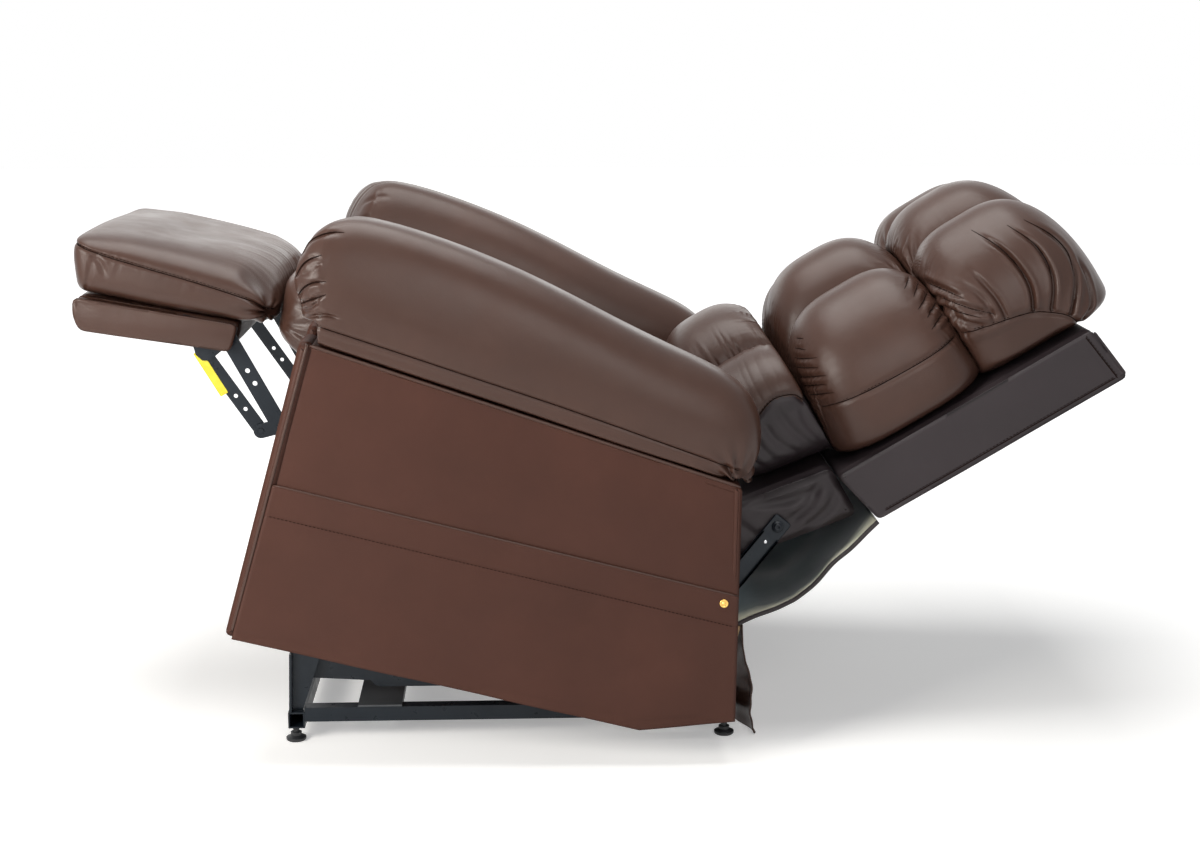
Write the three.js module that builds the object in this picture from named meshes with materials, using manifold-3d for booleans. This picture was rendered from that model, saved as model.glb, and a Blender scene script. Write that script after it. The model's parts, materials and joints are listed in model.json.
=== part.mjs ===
// Power lift recliner chair, in millimetres.
// +X is the sitter's left, -Y the front, +Z up. Stored with the base level, the chair box tipped back,
// the footrest out and the back reclined. Shapes of the side view are written as [y, z] points:
// those of the base and the lift linkage in the level frame, all others in the frame of the tipped box.
import * as THREE from 'three';
import { mergeVertices } from 'three/addons/utils/BufferGeometryUtils.js';
import Module from 'manifold-3d';

const wasm = await Module();
wasm.setup();

// ---------- driving dimensions ----------
const BOX_TILT = 14.5;                 // degrees that the chair box is tipped back
const GAP = 0.4;                       // between pieces that touch
const PIN_FIT = 0.5;                   // radial play of a pin in its hole
const PLATE = 3;                       // footrest link thickness
const ARM_PLATE = 5;                   // lift arm thickness

// base
const BASE_HALF = 330;                 // half width over the side rails
const TUBE = 24;                       // rail section
const BASE_FRONT = -385;
const BASE_REAR = 345;
const FOOT_RADIUS = 16.5;
const FOOT_DISC = 7;
const FOOT_HEIGHT = 24;
const CROSS_TUBE = 27;                 // front and rear cross tube section
const WALL = 2.5;                      // tube wall
const CROSS_PLATE = { front: -271, depth: 72, lip: 10 };
const UPRIGHT_X = 312;
const UPRIGHT_PLATE = 5;

// lift linkage: pivots of the main and guide arms on the base and on the lift frame
const MAIN_BASE = [-358, 120];
const MAIN_TOP = [-20, 98];
const GUIDE_BASE = [-342, 178];
const GUIDE_TOP = [59, 199];
const GUIDE_SLIP = 2.2;                // extra play of the guide arm's upper pivot
const LIFT_PIN = 7;
const MAIN_X = 292;
const GUIDE_X = 299;
const LIFT_X = 280;
const LIFT_RAIL = 10;
const LIFT_FRONT = -235;               // front end of the lift frame rails
const LIFT_BEAM = 98;                  // their height
const LIFT_TIE = [190, 136];           // cross tube of the lift frame
const TILT_PIVOT = [282.8, 174.8];     // level frame
const TILT_SHAFT = 12;
const TORQUE_TUBE = [-290, 116];
const TORQUE_RADIUS = 14;

// seat frame, in the box frame
const SEAT_TILT_PIVOT = [230, 240];    // the tilt shaft again, in the box frame
const RAIL_X = 266;
const RAIL_PLATE = 6;
const FRONT_TUBE = [-262, 415];
const FRONT_TUBE_RADIUS = 14;
const DECK = { front: -425, rear: 62, low: 455.5, high: 478, rim: 34 };
const REAR_RAIL = { front: 268, rear: 295, low: 250, high: 272 };
const DECK_BARS = 5;

// footrest linkage, in the box frame
const DRIVE_PIVOT = [-399, 408];
const REAR_PIVOT = [-356, 351];
const DRIVE_JOINT = [-507, 399];       // drive link to wide outer link
const DRIVE_TIP = [-536, 383];         // drive link to slim outer link
const REAR_JOINT = [-463, 343.5];      // rear link to wide outer link
const BOARD_FRONT_PIVOT = [-652, 485];
const BOARD_REAR_PIVOT = [-621.5, 523];
const LINK_PIN = 5;
const DRIVE_TUBE_RADIUS = 9;
const SLIM_SLIP = 3.2;                 // extra play of the slim link's upper pivot
const REAR_SLIP = 1.6;                 // extra play of the wide link on the rear link's pin
const LAYER = { slim: 245, drive: 250, wide: 255, rear: 260 };
const SLIM_HALF = 11;
const WIDE_HALF = 13.5;
const BOARD_OUTLINE = [[-869, 529], [-607, 549], [-609, 502], [-849, 478]];
const BOARD_HALF = 278;
const PAD = { front: -884, rear: -553, top: 630, seam: 46, half: 283 };  // seam: height of its edge seam

// seat
const SEAT = {
  front: -544, rear: 110, frontTop: 646, rearTop: 574, low: DECK.high + GAP, frontLow: 526, half: 275,
};
const SEAT_TAIL = { height: 486, slope: 0.44 };  // the seat falls off under the lumbar pillow

// arm boxes
const ARM_IN = 289;
const ARM_OUT = 460;
const ARM_WALL = 12;
const ARM_BOX_LOW_IN = 340;            // inner wall of the lower, narrower part
const ARM_STEP = { height: 430, rear: 100 };  // the inner wall steps out below and behind this corner
const PANEL = {
  front: -492, low: 102, chamferStart: 160, rearLow: [304, 156], rearTop: [216, 522], frontTop: [-480, 577],
};
const ARM_PAD = {
  front: -526, rear: 233, crest: 762, crestAt: -400, fall: 3.6e-4, inner: 287.5, outer: 472,
};
const SKIRT = { band: 353, thick: 3, drop: 2 };

// back, in the box frame; (s, n) run up the back and out of it
const BACK_ANGLE = 45;
const BACK_PIVOT = [250, 295];
const BACK_PIN = { radius: 8, shoulder: 12, head: 4 };
const LOWER_BACK = {
  low: 457, high: 660, rearLow: 72, rearHigh: 38, frontLow: 163, frontHigh: 130, half: 298,
};
const SLAB = {
  low: LOWER_BACK.high + GAP, lowRear: 683, top: 1143, topFront: 1126, rear: 21, front: 119, half: 331,
};
const ON_SLAB = SLAB.front + GAP;
const ON_LOWER_BACK = LOWER_BACK.frontLow + GAP;
const PILLOWS = {
  head_pillow: { low: 946, high: 1203, base: ON_SLAB, crown: 366, half: 322, dip: 26, lean: -0.02 },
  shoulder_pillow: { low: 682, high: 944, base: ON_SLAB, crown: 382, half: 328, dip: 32, lean: 0.02 },
  lumbar_pillow: { low: 510, high: 680, base: ON_LOWER_BACK, crown: 408, half: 274, dip: 26, lean: -0.1 },
};
const PILLOW_EDGE = 105;               // width over which a pillow's sides are drawn in
const COLUMN = 212;                    // width of the middle column of pillows
const BRACKET_X = LOWER_BACK.half + GAP;
const BRACKET = [BACK_PIVOT, [272, 338], [316, 445], [331, 457]];
const BACK_LUG = [250, 365.5];

// rear cloth
const CLOTH = 3;
const FLAP = [[469, 497.2], [452, 452], [434, 408], [394, 338], [348, 304], [299, 279]];
const FLAP_HALF = 328;
const SKIRT_FOLD = 7;                  // depth of its hanging folds
const SKIRT_FOLDS = 4;
const SKIRT_CLEAR = 2;                 // above the floor

// drives
const LIFT_MOTOR = {
  base: [331, 66], eye: 5, x: 70, housing: 560, radius: 21, retract: 0, slot: 13, play: 4.5,
};
const LIFT_LUG = [-284, 201];
const BACK_MOTOR = {
  eye: FRONT_TUBE_RADIUS, x: 70, housing: 400, radius: 19, retract: 32, slot: 2, play: 2.6,
};
const ROD = 9;
const EYE_HALF = 10;
const CONTROL_BOX = { x: [-235, -95], y: [238, 342], height: 46 };

// ---------- materials ----------
const leather = new THREE.MeshStandardMaterial({ color: 0x3f2620, roughness: 0.42, metalness: 0 });
const lining = new THREE.MeshStandardMaterial({ color: 0x6d6a5c, roughness: 0.95, metalness: 0 });
const steel = new THREE.MeshStandardMaterial({ color: 0x14171c, roughness: 0.4, metalness: 0.6 });
const plastic = new THREE.MeshStandardMaterial({ color: 0x17181a, roughness: 0.6, metalness: 0 });
const bright = new THREE.MeshStandardMaterial({ color: 0xb9bcc0, roughness: 0.25, metalness: 1 });
const wood = new THREE.MeshStandardMaterial({ color: 0x8a6a45, roughness: 0.8, metalness: 0 });
const deckCloth = new THREE.MeshStandardMaterial({ color: 0x24211f, roughness: 0.9, metalness: 0 });

// ---------- small helpers ----------
const rad = THREE.MathUtils.degToRad;
const mix = THREE.MathUtils.lerp;
const sideView = new THREE.Matrix4().makeBasis(
  new THREE.Vector3(0, 1, 0), new THREE.Vector3(0, 0, 1), new THREE.Vector3(1, 0, 0));

function solid(geometry) {
  const bare = geometry.clone();
  Object.keys(bare.attributes).filter((n) => n !== 'position').forEach((n) => bare.deleteAttribute(n));
  const merged = mergeVertices(bare, 1e-4);
  return new wasm.Manifold(new wasm.Mesh({
    numProp: 3,
    vertProperties: new Float32Array(merged.attributes.position.array),
    triVerts: new Uint32Array(merged.index.array),
  }));
}

function geometryOf(manifold) {
  const mesh = manifold.getMesh();
  const geometry = new THREE.BufferGeometry();
  geometry.setAttribute('position', new THREE.BufferAttribute(new Float32Array(mesh.vertProperties), 3));
  geometry.setIndex(new THREE.BufferAttribute(new Uint32Array(mesh.triVerts), 1));
  geometry.computeVertexNormals();
  return geometry;
}

const fuse = (...pieces) => geometryOf(pieces.map(solid).reduce((sum, piece) => sum.add(piece)));
const cut = (piece, ...tools) => geometryOf(tools.map(solid).reduce(
  (rest, tool) => rest.subtract(tool), solid(piece)));

function block([x0, x1], [y0, y1], [z0, z1]) {
  const box = new THREE.BoxGeometry(x1 - x0, y1 - y0, z1 - z0);
  return box.translate((x0 + x1) / 2, (y0 + y1) / 2, (z0 + z1) / 2);
}

// a round bar along X between x0 and x1
function bar(x0, x1, [y, z], radius, sides = 16) {
  const cylinder = new THREE.CylinderGeometry(radius, radius, x1 - x0, sides);
  return cylinder.rotateZ(Math.PI / 2).translate((x0 + x1) / 2, y, z);
}

// a side-view outline with thickness along X, its edges optionally rounded over
function slab(points, x0, x1, round = 0) {
  const shape = new THREE.Shape(points.map(([y, z]) => new THREE.Vector2(y, z)));
  return sideExtrude(shape, x0, x1, round);
}

function sideExtrude(shape, x0, x1, round = 0) {
  const geometry = new THREE.ExtrudeGeometry(shape, {
    depth: x1 - x0 - 2 * round, curveSegments: 4, bevelEnabled: round > 0, bevelSegments: 3,
    bevelSize: round, bevelThickness: round, bevelOffset: -round,
  });
  return geometry.applyMatrix4(sideView).translate(x0 + round, 0, 0);
}

function stadium([y0, z0], [y1, z1], radius) {
  const angle = Math.atan2(z1 - z0, y1 - y0);
  const shape = new THREE.Shape();
  shape.absarc(y0, z0, radius, angle + Math.PI / 2, angle + Math.PI * 1.5);
  shape.absarc(y1, z1, radius, angle - Math.PI / 2, angle + Math.PI / 2);
  shape.closePath();
  return shape;
}

// a flat strap with round ends that follows a run of pivots
function strap(pivots, radius, x0, x1) {
  const stretches = pivots.slice(1).map((p, i) => sideExtrude(stadium(pivots[i], p, radius), x0, x1));
  return stretches.length > 1 ? fuse(...stretches) : stretches[0];
}

function mirrored(geometry) {
  const copy = geometry.clone().scale(-1, 1, 1);
  const index = copy.index ? Array.from(copy.index.array)
    : Array.from({ length: copy.attributes.position.count }, (_, i) => i);
  for (let i = 0; i < index.length; i += 3) [index[i], index[i + 1]] = [index[i + 1], index[i]];
  copy.setIndex(index);
  copy.computeVertexNormals();
  return copy;
}

function add(group, name, geometry, material) {
  const mesh = new THREE.Mesh(geometry, material);
  mesh.name = name;
  group.add(mesh);
}

function addPair(group, name, leftGeometry, material) {
  add(group, `${name}_left`, leftGeometry, material);
  add(group, `${name}_right`, mirrored(leftGeometry), material);
}

// a closed skin through rings of points; a ribbon's rings run out along one face and back along the other
function loft(rings, ribbon = false) {
  const count = rings[0].length;
  const positions = rings.flat().flatMap((p) => [p.x, p.y, p.z]);
  const index = [];
  for (let i = 0; i + 1 < rings.length; i += 1) {
    for (let j = 0; j < count; j += 1) {
      const [a, b] = [i * count + j, i * count + (j + 1) % count];
      index.push(a, b, b + count, a, b + count, a + count);
    }
  }
  const last = (rings.length - 1) * count;
  if (ribbon) {
    for (let j = 0; j + 1 < count / 2; j += 1) {
      const quad = [j + 1, j, count - 1 - j, count - 2 - j];
      index.push(quad[0], quad[1], quad[2], quad[0], quad[2], quad[3]);
      const far = quad.map((k) => k + last);
      index.push(far[2], far[1], far[0], far[3], far[2], far[0]);
    }
  } else {
    [[rings[0], 0, true], [rings.at(-1), last, false]].forEach(([ring, start, flip]) => {
      const centre = ring.reduce((sum, p) => sum.add(p), new THREE.Vector3()).divideScalar(count);
      const hub = positions.length / 3;
      positions.push(centre.x, centre.y, centre.z);
      for (let j = 0; j < count; j += 1) {
        const [a, b] = [start + j, start + (j + 1) % count];
        index.push(hub, flip ? b : a, flip ? a : b);
      }
    });
  }
  if (signedVolume(positions, index) < 0) index.reverse();
  const geometry = new THREE.BufferGeometry();
  geometry.setAttribute('position', new THREE.Float32BufferAttribute(positions, 3));
  geometry.setIndex(index);
  geometry.computeVertexNormals();
  return geometry;
}

function signedVolume(positions, index) {
  const at = (i) => new THREE.Vector3().fromArray(positions, 3 * i);
  let sum = 0;
  for (let i = 0; i < index.length; i += 3) {
    sum += at(index[i]).dot(at(index[i + 1]).cross(at(index[i + 2])));
  }
  return sum;
}

const spread = (from, to, count) => Array.from({ length: count }, (_, i) => mix(from, to, i / (count - 1)));
const power = (value, exponent) => Math.sign(value) * Math.abs(value) ** exponent;

// unit outline of a stuffed section: [along, up] pairs, squarer as the exponent grows
function cushionOutline(count, exponent) {
  return Array.from({ length: count }, (_, i) => {
    const angle = (2 * Math.PI * (i + 0.5)) / count;
    return [power(Math.cos(angle), 2 / exponent), power(Math.sin(angle), 2 / exponent)];
  });
}

// 1 in the middle of a stuffed width, falling to the given share at its drawn-in edge
function edgeSwell(x, half, edge, share) {
  const over = Math.max(0, (Math.abs(x) - (half - edge)) / edge);
  return share + (1 - share) * Math.sqrt(Math.max(0, 1 - over * over));
}

// stations across a stuffed width, closer together near both edges
const acrossWidth = (half, count) => spread(-1, 1, count).map((t) => half * Math.sin((t * Math.PI) / 2));

// ---------- base (level frame) ----------
function boxTube(spanX, spanY, spanZ, wall, alongX) {
  const shrink = (span, open) => (open ? [span[0] - 1, span[1] + 1] : [span[0] + wall, span[1] - wall]);
  return cut(block(spanX, spanY, spanZ),
    block(shrink(spanX, alongX), shrink(spanY, !alongX), shrink(spanZ, false)));
}

function buildBase(group) {
  const tubeTop = FOOT_HEIGHT + CROSS_TUBE;
  const railTop = tubeTop + 8;
  const frontTubeBack = BASE_FRONT + CROSS_TUBE;
  const rearTubeFront = BASE_REAR - CROSS_TUBE;
  const tubeZ = [FOOT_HEIGHT, tubeTop];
  const crossTube = (y) => boxTube([-BASE_HALF, BASE_HALF], [y, y + CROSS_TUBE], tubeZ, WALL, true);
  add(group, 'base_front_tube', crossTube(BASE_FRONT), steel);
  const [motorY, motorZ] = LIFT_MOTOR.base;
  const cheeks = [-1, 1].map((side) => LIFT_MOTOR.x + side * (EYE_HALF + GAP + 2)).map((x) => fuse(
    block([x - 2, x + 2], [motorY - 12, motorY + 12], [tubeTop - 1, motorZ]),
    bar(x - 2, x + 2, LIFT_MOTOR.base, 12)));
  const pinHalf = EYE_HALF + 4;
  const motorPin = bar(LIFT_MOTOR.x - pinHalf, LIFT_MOTOR.x + pinHalf, LIFT_MOTOR.base, LIFT_MOTOR.eye);
  add(group, 'base_rear_tube', fuse(crossTube(rearTubeFront), ...cheeks, motorPin), steel);
  const railSpan = [frontTubeBack + GAP, rearTubeFront - GAP];
  const rail = boxTube([BASE_HALF - TUBE, BASE_HALF], railSpan, [railTop - TUBE, railTop], WALL, false);
  addPair(group, 'base_rail', rail, steel);
  const { x: boxX, y: boxY, height } = CONTROL_BOX;
  const boxZ = [tubeTop + GAP, tubeTop + GAP + height];
  const lid = block([boxX[0] - 3, boxX[1] + 3], [boxY[0] - 3, boxY[1]], [boxZ[1] - 14, boxZ[1]]);
  const inlet = block([boxX[0] + 20, boxX[0] + 48], [boxY[0] - 10, boxY[0] + 12],
    [boxZ[0] + 6, boxZ[0] + 26]);
  add(group, 'control_box', cut(fuse(block(boxX, boxY, boxZ), lid), inlet), plastic);

  const plateY = [CROSS_PLATE.front, CROSS_PLATE.front + CROSS_PLATE.depth];
  const lipReach = BASE_HALF - TUBE - 2;
  const lips = plateY.map((y, i) => block([-lipReach, lipReach], i ? [y - 3, y] : [y, y + 3],
    [railTop - CROSS_PLATE.lip, railTop + 1]));
  const sheet = block([-BASE_HALF, BASE_HALF], plateY, [railTop + GAP, railTop + GAP + 3]);
  add(group, 'base_cross_plate', fuse(sheet, ...lips), steel);

  const footZ = FOOT_HEIGHT - GAP;
  const profile = [[0, 0], [FOOT_RADIUS - 2, 0], [FOOT_RADIUS, 2], [FOOT_RADIUS, FOOT_DISC - 1.5],
    [FOOT_RADIUS - 3, FOOT_DISC], [9, FOOT_DISC + 2], [9, FOOT_DISC + 7], [5, FOOT_DISC + 7], [5, footZ],
    [0, footZ]];
  const footX = BASE_HALF - CROSS_TUBE / 2;
  [['front', BASE_FRONT + 11], ['rear', BASE_REAR - CROSS_TUBE / 2]].forEach(([end, y]) => {
    [['left', footX], ['right', -footX]].forEach(([side, x]) => {
      const foot = new THREE.LatheGeometry(profile.map(([r, z]) => new THREE.Vector2(r, z)), 20);
      add(group, `foot_${end}_${side}`, foot.rotateX(Math.PI / 2).translate(x, y, 0), plastic);
    });
  });

  const low = tubeTop + GAP;
  const web = slab([[BASE_FRONT + 2, low], [BASE_FRONT + 23, low], [-330, 146], [-318, 172], [-322, 196],
    [-342, 204], [-364, 196], [BASE_FRONT + 5, 150]], UPRIGHT_X, UPRIGHT_X + UPRIGHT_PLATE);
  const flange = slab([[BASE_FRONT + 2, low], [BASE_FRONT + 6, low], [BASE_FRONT + 9, 150],
    [BASE_FRONT + 5, 150]], UPRIGHT_X, BASE_HALF);
  const pins = [bar(MAIN_X - 1, UPRIGHT_X + 1, MAIN_BASE, LIFT_PIN),
    bar(GUIDE_X - 1, UPRIGHT_X + 1, GUIDE_BASE, LIFT_PIN),
    bar(MAIN_X + ARM_PLATE + 1, UPRIGHT_X + 1, MAIN_BASE, LIFT_PIN + 5),
    bar(GUIDE_X + ARM_PLATE + 1, UPRIGHT_X + 1, GUIDE_BASE, LIFT_PIN + 5)];
  addPair(group, 'base_upright', fuse(web, flange, ...pins), steel);
}

// ---------- lift linkage (level frame) ----------
function buildLift(group) {
  const hole = (pivot, play, x0, x1) => bar(x0 - 1, x1 + 1, pivot, LIFT_PIN + play);
  const mainSpan = [MAIN_X, MAIN_X + ARM_PLATE];
  const mainArm = cut(strap([MAIN_BASE, TORQUE_TUBE, MAIN_TOP], 20, ...mainSpan),
    hole(MAIN_BASE, PIN_FIT, ...mainSpan));
  addPair(group, 'lift_arm', fuse(mainArm, bar(LIFT_X - 1, MAIN_X + 1, MAIN_TOP, LIFT_PIN)), steel);
  const reach = MAIN_X - GAP;
  const lugX = LIFT_MOTOR.x + ROD + 1;
  const lug = strap([TORQUE_TUBE, LIFT_LUG], 13, lugX, lugX + 6);
  const lugPin = bar(LIFT_MOTOR.x - ROD, lugX + 1, LIFT_LUG, LINK_PIN);
  add(group, 'lift_torque_tube', fuse(bar(-reach, reach, TORQUE_TUBE, TORQUE_RADIUS), lug, lugPin), steel);

  const guideSpan = [GUIDE_X, GUIDE_X + ARM_PLATE];
  const guide = cut(strap([GUIDE_BASE, GUIDE_TOP], 16, ...guideSpan),
    hole(GUIDE_BASE, PIN_FIT, ...guideSpan));
  addPair(group, 'guide_arm', fuse(guide, bar(LIFT_X - 1, GUIDE_X + 1, GUIDE_TOP, LIFT_PIN)), steel);

  const railSpan = [LIFT_X, LIFT_X + LIFT_RAIL];
  const ears = fuse(strap([[LIFT_FRONT, LIFT_BEAM], [TILT_PIVOT[0], LIFT_BEAM]], 18, ...railSpan),
    strap([[GUIDE_TOP[0], LIFT_BEAM], GUIDE_TOP], 18, ...railSpan),
    strap([[LIFT_TIE[0], LIFT_BEAM], LIFT_TIE], 17, ...railSpan),
    strap([[TILT_PIVOT[0], LIFT_BEAM], TILT_PIVOT], 21, ...railSpan));
  const rail = cut(ears, hole(MAIN_TOP, PIN_FIT, ...railSpan),
    hole(GUIDE_TOP, GUIDE_SLIP + PIN_FIT, ...railSpan),
    bar(LIFT_X - 1, LIFT_X + LIFT_RAIL + 1, TILT_PIVOT, TILT_SHAFT + PIN_FIT));
  addPair(group, 'lift_frame_rail', rail, steel);
  add(group, 'lift_frame_tube', bar(GAP - LIFT_X, LIFT_X - GAP, LIFT_TIE, 12), steel);
}

// ---------- seat frame, deck and cushion (box frame) ----------
function buildSeat(group) {
  const railSpan = [RAIL_X, RAIL_X + RAIL_PLATE];
  const top = DECK.low - GAP;
  const outline = [[-434, top], [-434, 396], [-390, 322], [-330, 306], [-250, 262], [120, 222], [205, 210],
    [246, 210], [256, 232], [258, 276], [266, 290], [264, 308], [250, 316], [228, 322], [140, 345],
    [62, top]];
  const through = (pivot, radius) => bar(RAIL_X - 1, RAIL_X + RAIL_PLATE + 1, pivot, radius);
  const window = (from, to) => sideExtrude(stadium(from, to, 34), RAIL_X - 1, RAIL_X + RAIL_PLATE + 1);
  const plate = cut(slab(outline, ...railSpan), through(SEAT_TILT_PIVOT, TILT_SHAFT + GAP),
    through(DRIVE_PIVOT, DRIVE_TUBE_RADIUS + PIN_FIT), through(REAR_PIVOT, LINK_PIN + PIN_FIT),
    window([-205, 340], [-150, 335]), window([-60, 320], [20, 310]));
  addPair(group, 'seat_rail', plate, steel);
  const pinFoot = RAIL_X + RAIL_PLATE + GAP;
  const backPin = fuse(bar(pinFoot, BRACKET_X + 2 * BACK_PIN.head, BACK_PIVOT, BACK_PIN.radius),
    bar(pinFoot, BRACKET_X - GAP, BACK_PIVOT, BACK_PIN.shoulder));
  addPair(group, 'back_pin', backPin, steel);
  const reach = RAIL_X - GAP;
  add(group, 'seat_front_tube', bar(-reach, reach, FRONT_TUBE, FRONT_TUBE_RADIUS), steel);
  const shaftReach = LIFT_X + LIFT_RAIL + 4;
  add(group, 'tilt_shaft', bar(-shaftReach, shaftReach, SEAT_TILT_PIVOT, TILT_SHAFT), steel);

  const deckHalf = ARM_IN - GAP;
  const frame = cut(
    block([-deckHalf, deckHalf], [DECK.front, DECK.rear], [DECK.low, DECK.high]),
    block([-deckHalf + DECK.rim, deckHalf - DECK.rim], [DECK.front + DECK.rim, DECK.rear - DECK.rim],
      [DECK.low - 1, DECK.high + 1]));
  const bars = spread(-deckHalf + DECK.rim, deckHalf - DECK.rim, DECK_BARS + 2).slice(1, -1).map((x) => block(
    [x - 9, x + 9], [DECK.front + DECK.rim - 1, DECK.rear - DECK.rim + 1], [DECK.high - 9, DECK.high - 3]));
  add(group, 'seat_deck', fuse(frame, ...bars), deckCloth);

  const railHalf = ARM_BOX_LOW_IN - GAP;
  add(group, 'rear_rail', block([-railHalf, railHalf], [REAR_RAIL.front, REAR_RAIL.rear],
    [REAR_RAIL.low, REAR_RAIL.high]), wood);

  const section = cushionOutline(30, 3.4);
  const middle = (SEAT.front + SEAT.rear) / 2;
  const halfLength = (SEAT.rear - SEAT.front) / 2;
  const rings = acrossWidth(SEAT.half, 15).map((x) => {
    const swell = edgeSwell(x, SEAT.half, 90, 0.62);
    const draw = edgeSwell(x, SEAT.half, 50, 0.96);
    return section.map(([along, up]) => {
      const t = (along + 1) / 2;
      const y = middle + along * halfLength * draw;
      const tail = SEAT_TAIL.height + (SEAT.rear - y) * SEAT_TAIL.slope;
      const top = Math.min(mix(SEAT.frontTop, SEAT.rearTop, t), tail);
      const low = mix(SEAT.frontLow, SEAT.low, Math.min(1, t / 0.2));
      const centre = mix(top, low, 0.6);
      const z = up > 0 ? centre + (top - centre) * up * swell : centre + (centre - low) * up;
      return new THREE.Vector3(x, y, z);
    });
  });
  add(group, 'seat_cushion', loft(rings), leather);
}

// ---------- footrest (box frame) ----------
function linkHole(pivot, radius, x0, x1) {
  return bar(x0 - 1, x1 + 1, pivot, radius);
}

function rivet(pivot, x0, x1, headAt) {
  const head = headAt < x0 ? [headAt, headAt + 2] : [headAt - 2, headAt];
  return fuse(bar(x0, x1, pivot, LINK_PIN), bar(...head, pivot, LINK_PIN + 4));
}

function buildFootrest(group) {
  const span = (layer) => [LAYER[layer], LAYER[layer] + PLATE];
  const driveSpan = span('drive');
  const wideSpan = span('wide');
  const slimSpan = span('slim');
  const rearSpan = span('rear');
  const between = (a, b, t) => [mix(a[0], b[0], t), mix(a[1], b[1], t)];

  const drivePlate = cut(strap([DRIVE_PIVOT, DRIVE_JOINT, DRIVE_TIP], 12, ...driveSpan),
    linkHole(DRIVE_TIP, LINK_PIN + PIN_FIT, ...driveSpan));
  const drivePin = bar(driveSpan[0] + 1, wideSpan[1] + 1, DRIVE_JOINT, LINK_PIN);
  const driveLeft = fuse(drivePlate, drivePin);
  const tubeReach = RAIL_X + RAIL_PLATE;
  add(group, 'footrest_drive', fuse(driveLeft, mirrored(driveLeft),
    bar(-tubeReach, tubeReach, DRIVE_PIVOT, DRIVE_TUBE_RADIUS)), steel);

  const widePins = [BOARD_REAR_PIVOT, DRIVE_JOINT, REAR_JOINT];
  const wideSpots = [0.38, 0.52].map((t) => linkHole(
    between(BOARD_REAR_PIVOT, DRIVE_JOINT, t), 4, ...wideSpan));
  const wide = cut(strap(widePins, WIDE_HALF, ...wideSpan), ...widePins.map((p) => linkHole(
    p, LINK_PIN + PIN_FIT + (p === REAR_JOINT ? REAR_SLIP : 0), ...wideSpan)), ...wideSpots);
  addPair(group, 'footrest_wide_link', wide, steel);

  const slimSpots = [0.55, 0.72].map((t) => linkHole(
    between(BOARD_FRONT_PIVOT, DRIVE_TIP, t), 3.5, ...slimSpan));
  const slim = cut(strap([BOARD_FRONT_PIVOT, DRIVE_TIP], SLIM_HALF, ...slimSpan),
    linkHole(BOARD_FRONT_PIVOT, LINK_PIN + SLIM_SLIP, ...slimSpan), ...slimSpots);
  const slimRivet = rivet(DRIVE_TIP, slimSpan[0] - 1, driveSpan[1] + 1, slimSpan[0] - 1.6);
  addPair(group, 'footrest_slim_link', fuse(slim, slimRivet), steel);

  const rear = strap([REAR_PIVOT, REAR_JOINT], 12, ...rearSpan);
  const rearPins = [bar(rearSpan[0] + 1, RAIL_X + RAIL_PLATE, REAR_PIVOT, LINK_PIN),
    bar(wideSpan[0] + 0.2, rearSpan[0] + 1, REAR_JOINT, LINK_PIN)];
  addPair(group, 'footrest_rear_link', fuse(rear, ...rearPins), steel);

  const [frontY, frontZ] = BOARD_FRONT_PIVOT;
  const [rearY, rearZ] = BOARD_REAR_PIVOT;
  const pocketX = [LAYER.slim - 5, LAYER.rear + 8];
  const pockets = [pocketX, [-pocketX[1], -pocketX[0]]].map((x) => block(x,
    [frontY - 52, rearY + 31.5], [frontZ - 45, rearZ + 17]));
  const board = cut(slab(BOARD_OUTLINE, -BOARD_HALF, BOARD_HALF, 7), ...pockets);
  add(group, 'footrest_board', board, leather);
  const bracketOutline = [[frontY - 46, rearZ + 16.5], [rearY + 12.5, rearZ + 16.5],
    [rearY + 12.5, rearZ - 4], [frontY + 12, frontZ - 8], [frontY, frontZ - 11.5], [frontY - 12, frontZ - 5]];
  const bracket = fuse(slab(bracketOutline, ...driveSpan),
    bar(driveSpan[0] + 1, wideSpan[1] + 1, BOARD_REAR_PIVOT, LINK_PIN),
    rivet(BOARD_FRONT_PIVOT, slimSpan[0] - 1, driveSpan[0] + 1, slimSpan[0] - 2.2));
  addPair(group, 'footrest_bracket', bracket, steel);

  const [boardFront, boardRear] = BOARD_OUTLINE;
  const boardTop = (y) => mix(boardFront[1], boardRear[1],
    (y - boardFront[0]) / (boardRear[0] - boardFront[0]));
  const section = cushionOutline(24, 4.5);
  const middle = (PAD.front + PAD.rear) / 2;
  const halfLength = (PAD.rear - PAD.front) / 2;
  const rings = acrossWidth(PAD.half, 13).map((x) => {
    const swell = edgeSwell(x, PAD.half, 70, 0.5);
    return section.map(([along, up]) => {
      const y = middle + along * halfLength * edgeSwell(x, PAD.half, 40, 0.97);
      const base = boardTop(y) + GAP;
      const pinch = along > 0.72 ? 1 - 0.8 * (along - 0.72) : 1;
      const seam = base + PAD.seam;
      const z = up > 0 ? seam + (PAD.top - seam) * up * swell * pinch : seam + (seam - base) * up;
      return new THREE.Vector3(x, y, z);
    });
  });
  add(group, 'footrest_pad', loft(rings), leather);
}

// ---------- arm boxes (box frame) ----------
const armCrest = (y) => ARM_PAD.crest - ARM_PAD.fall * (y - ARM_PAD.crestAt) ** 2;
const panelTop = (y) => mix(PANEL.frontTop[1], PANEL.rearTop[1],
  (y - PANEL.frontTop[0]) / (PANEL.rearTop[0] - PANEL.frontTop[0]));

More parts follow.
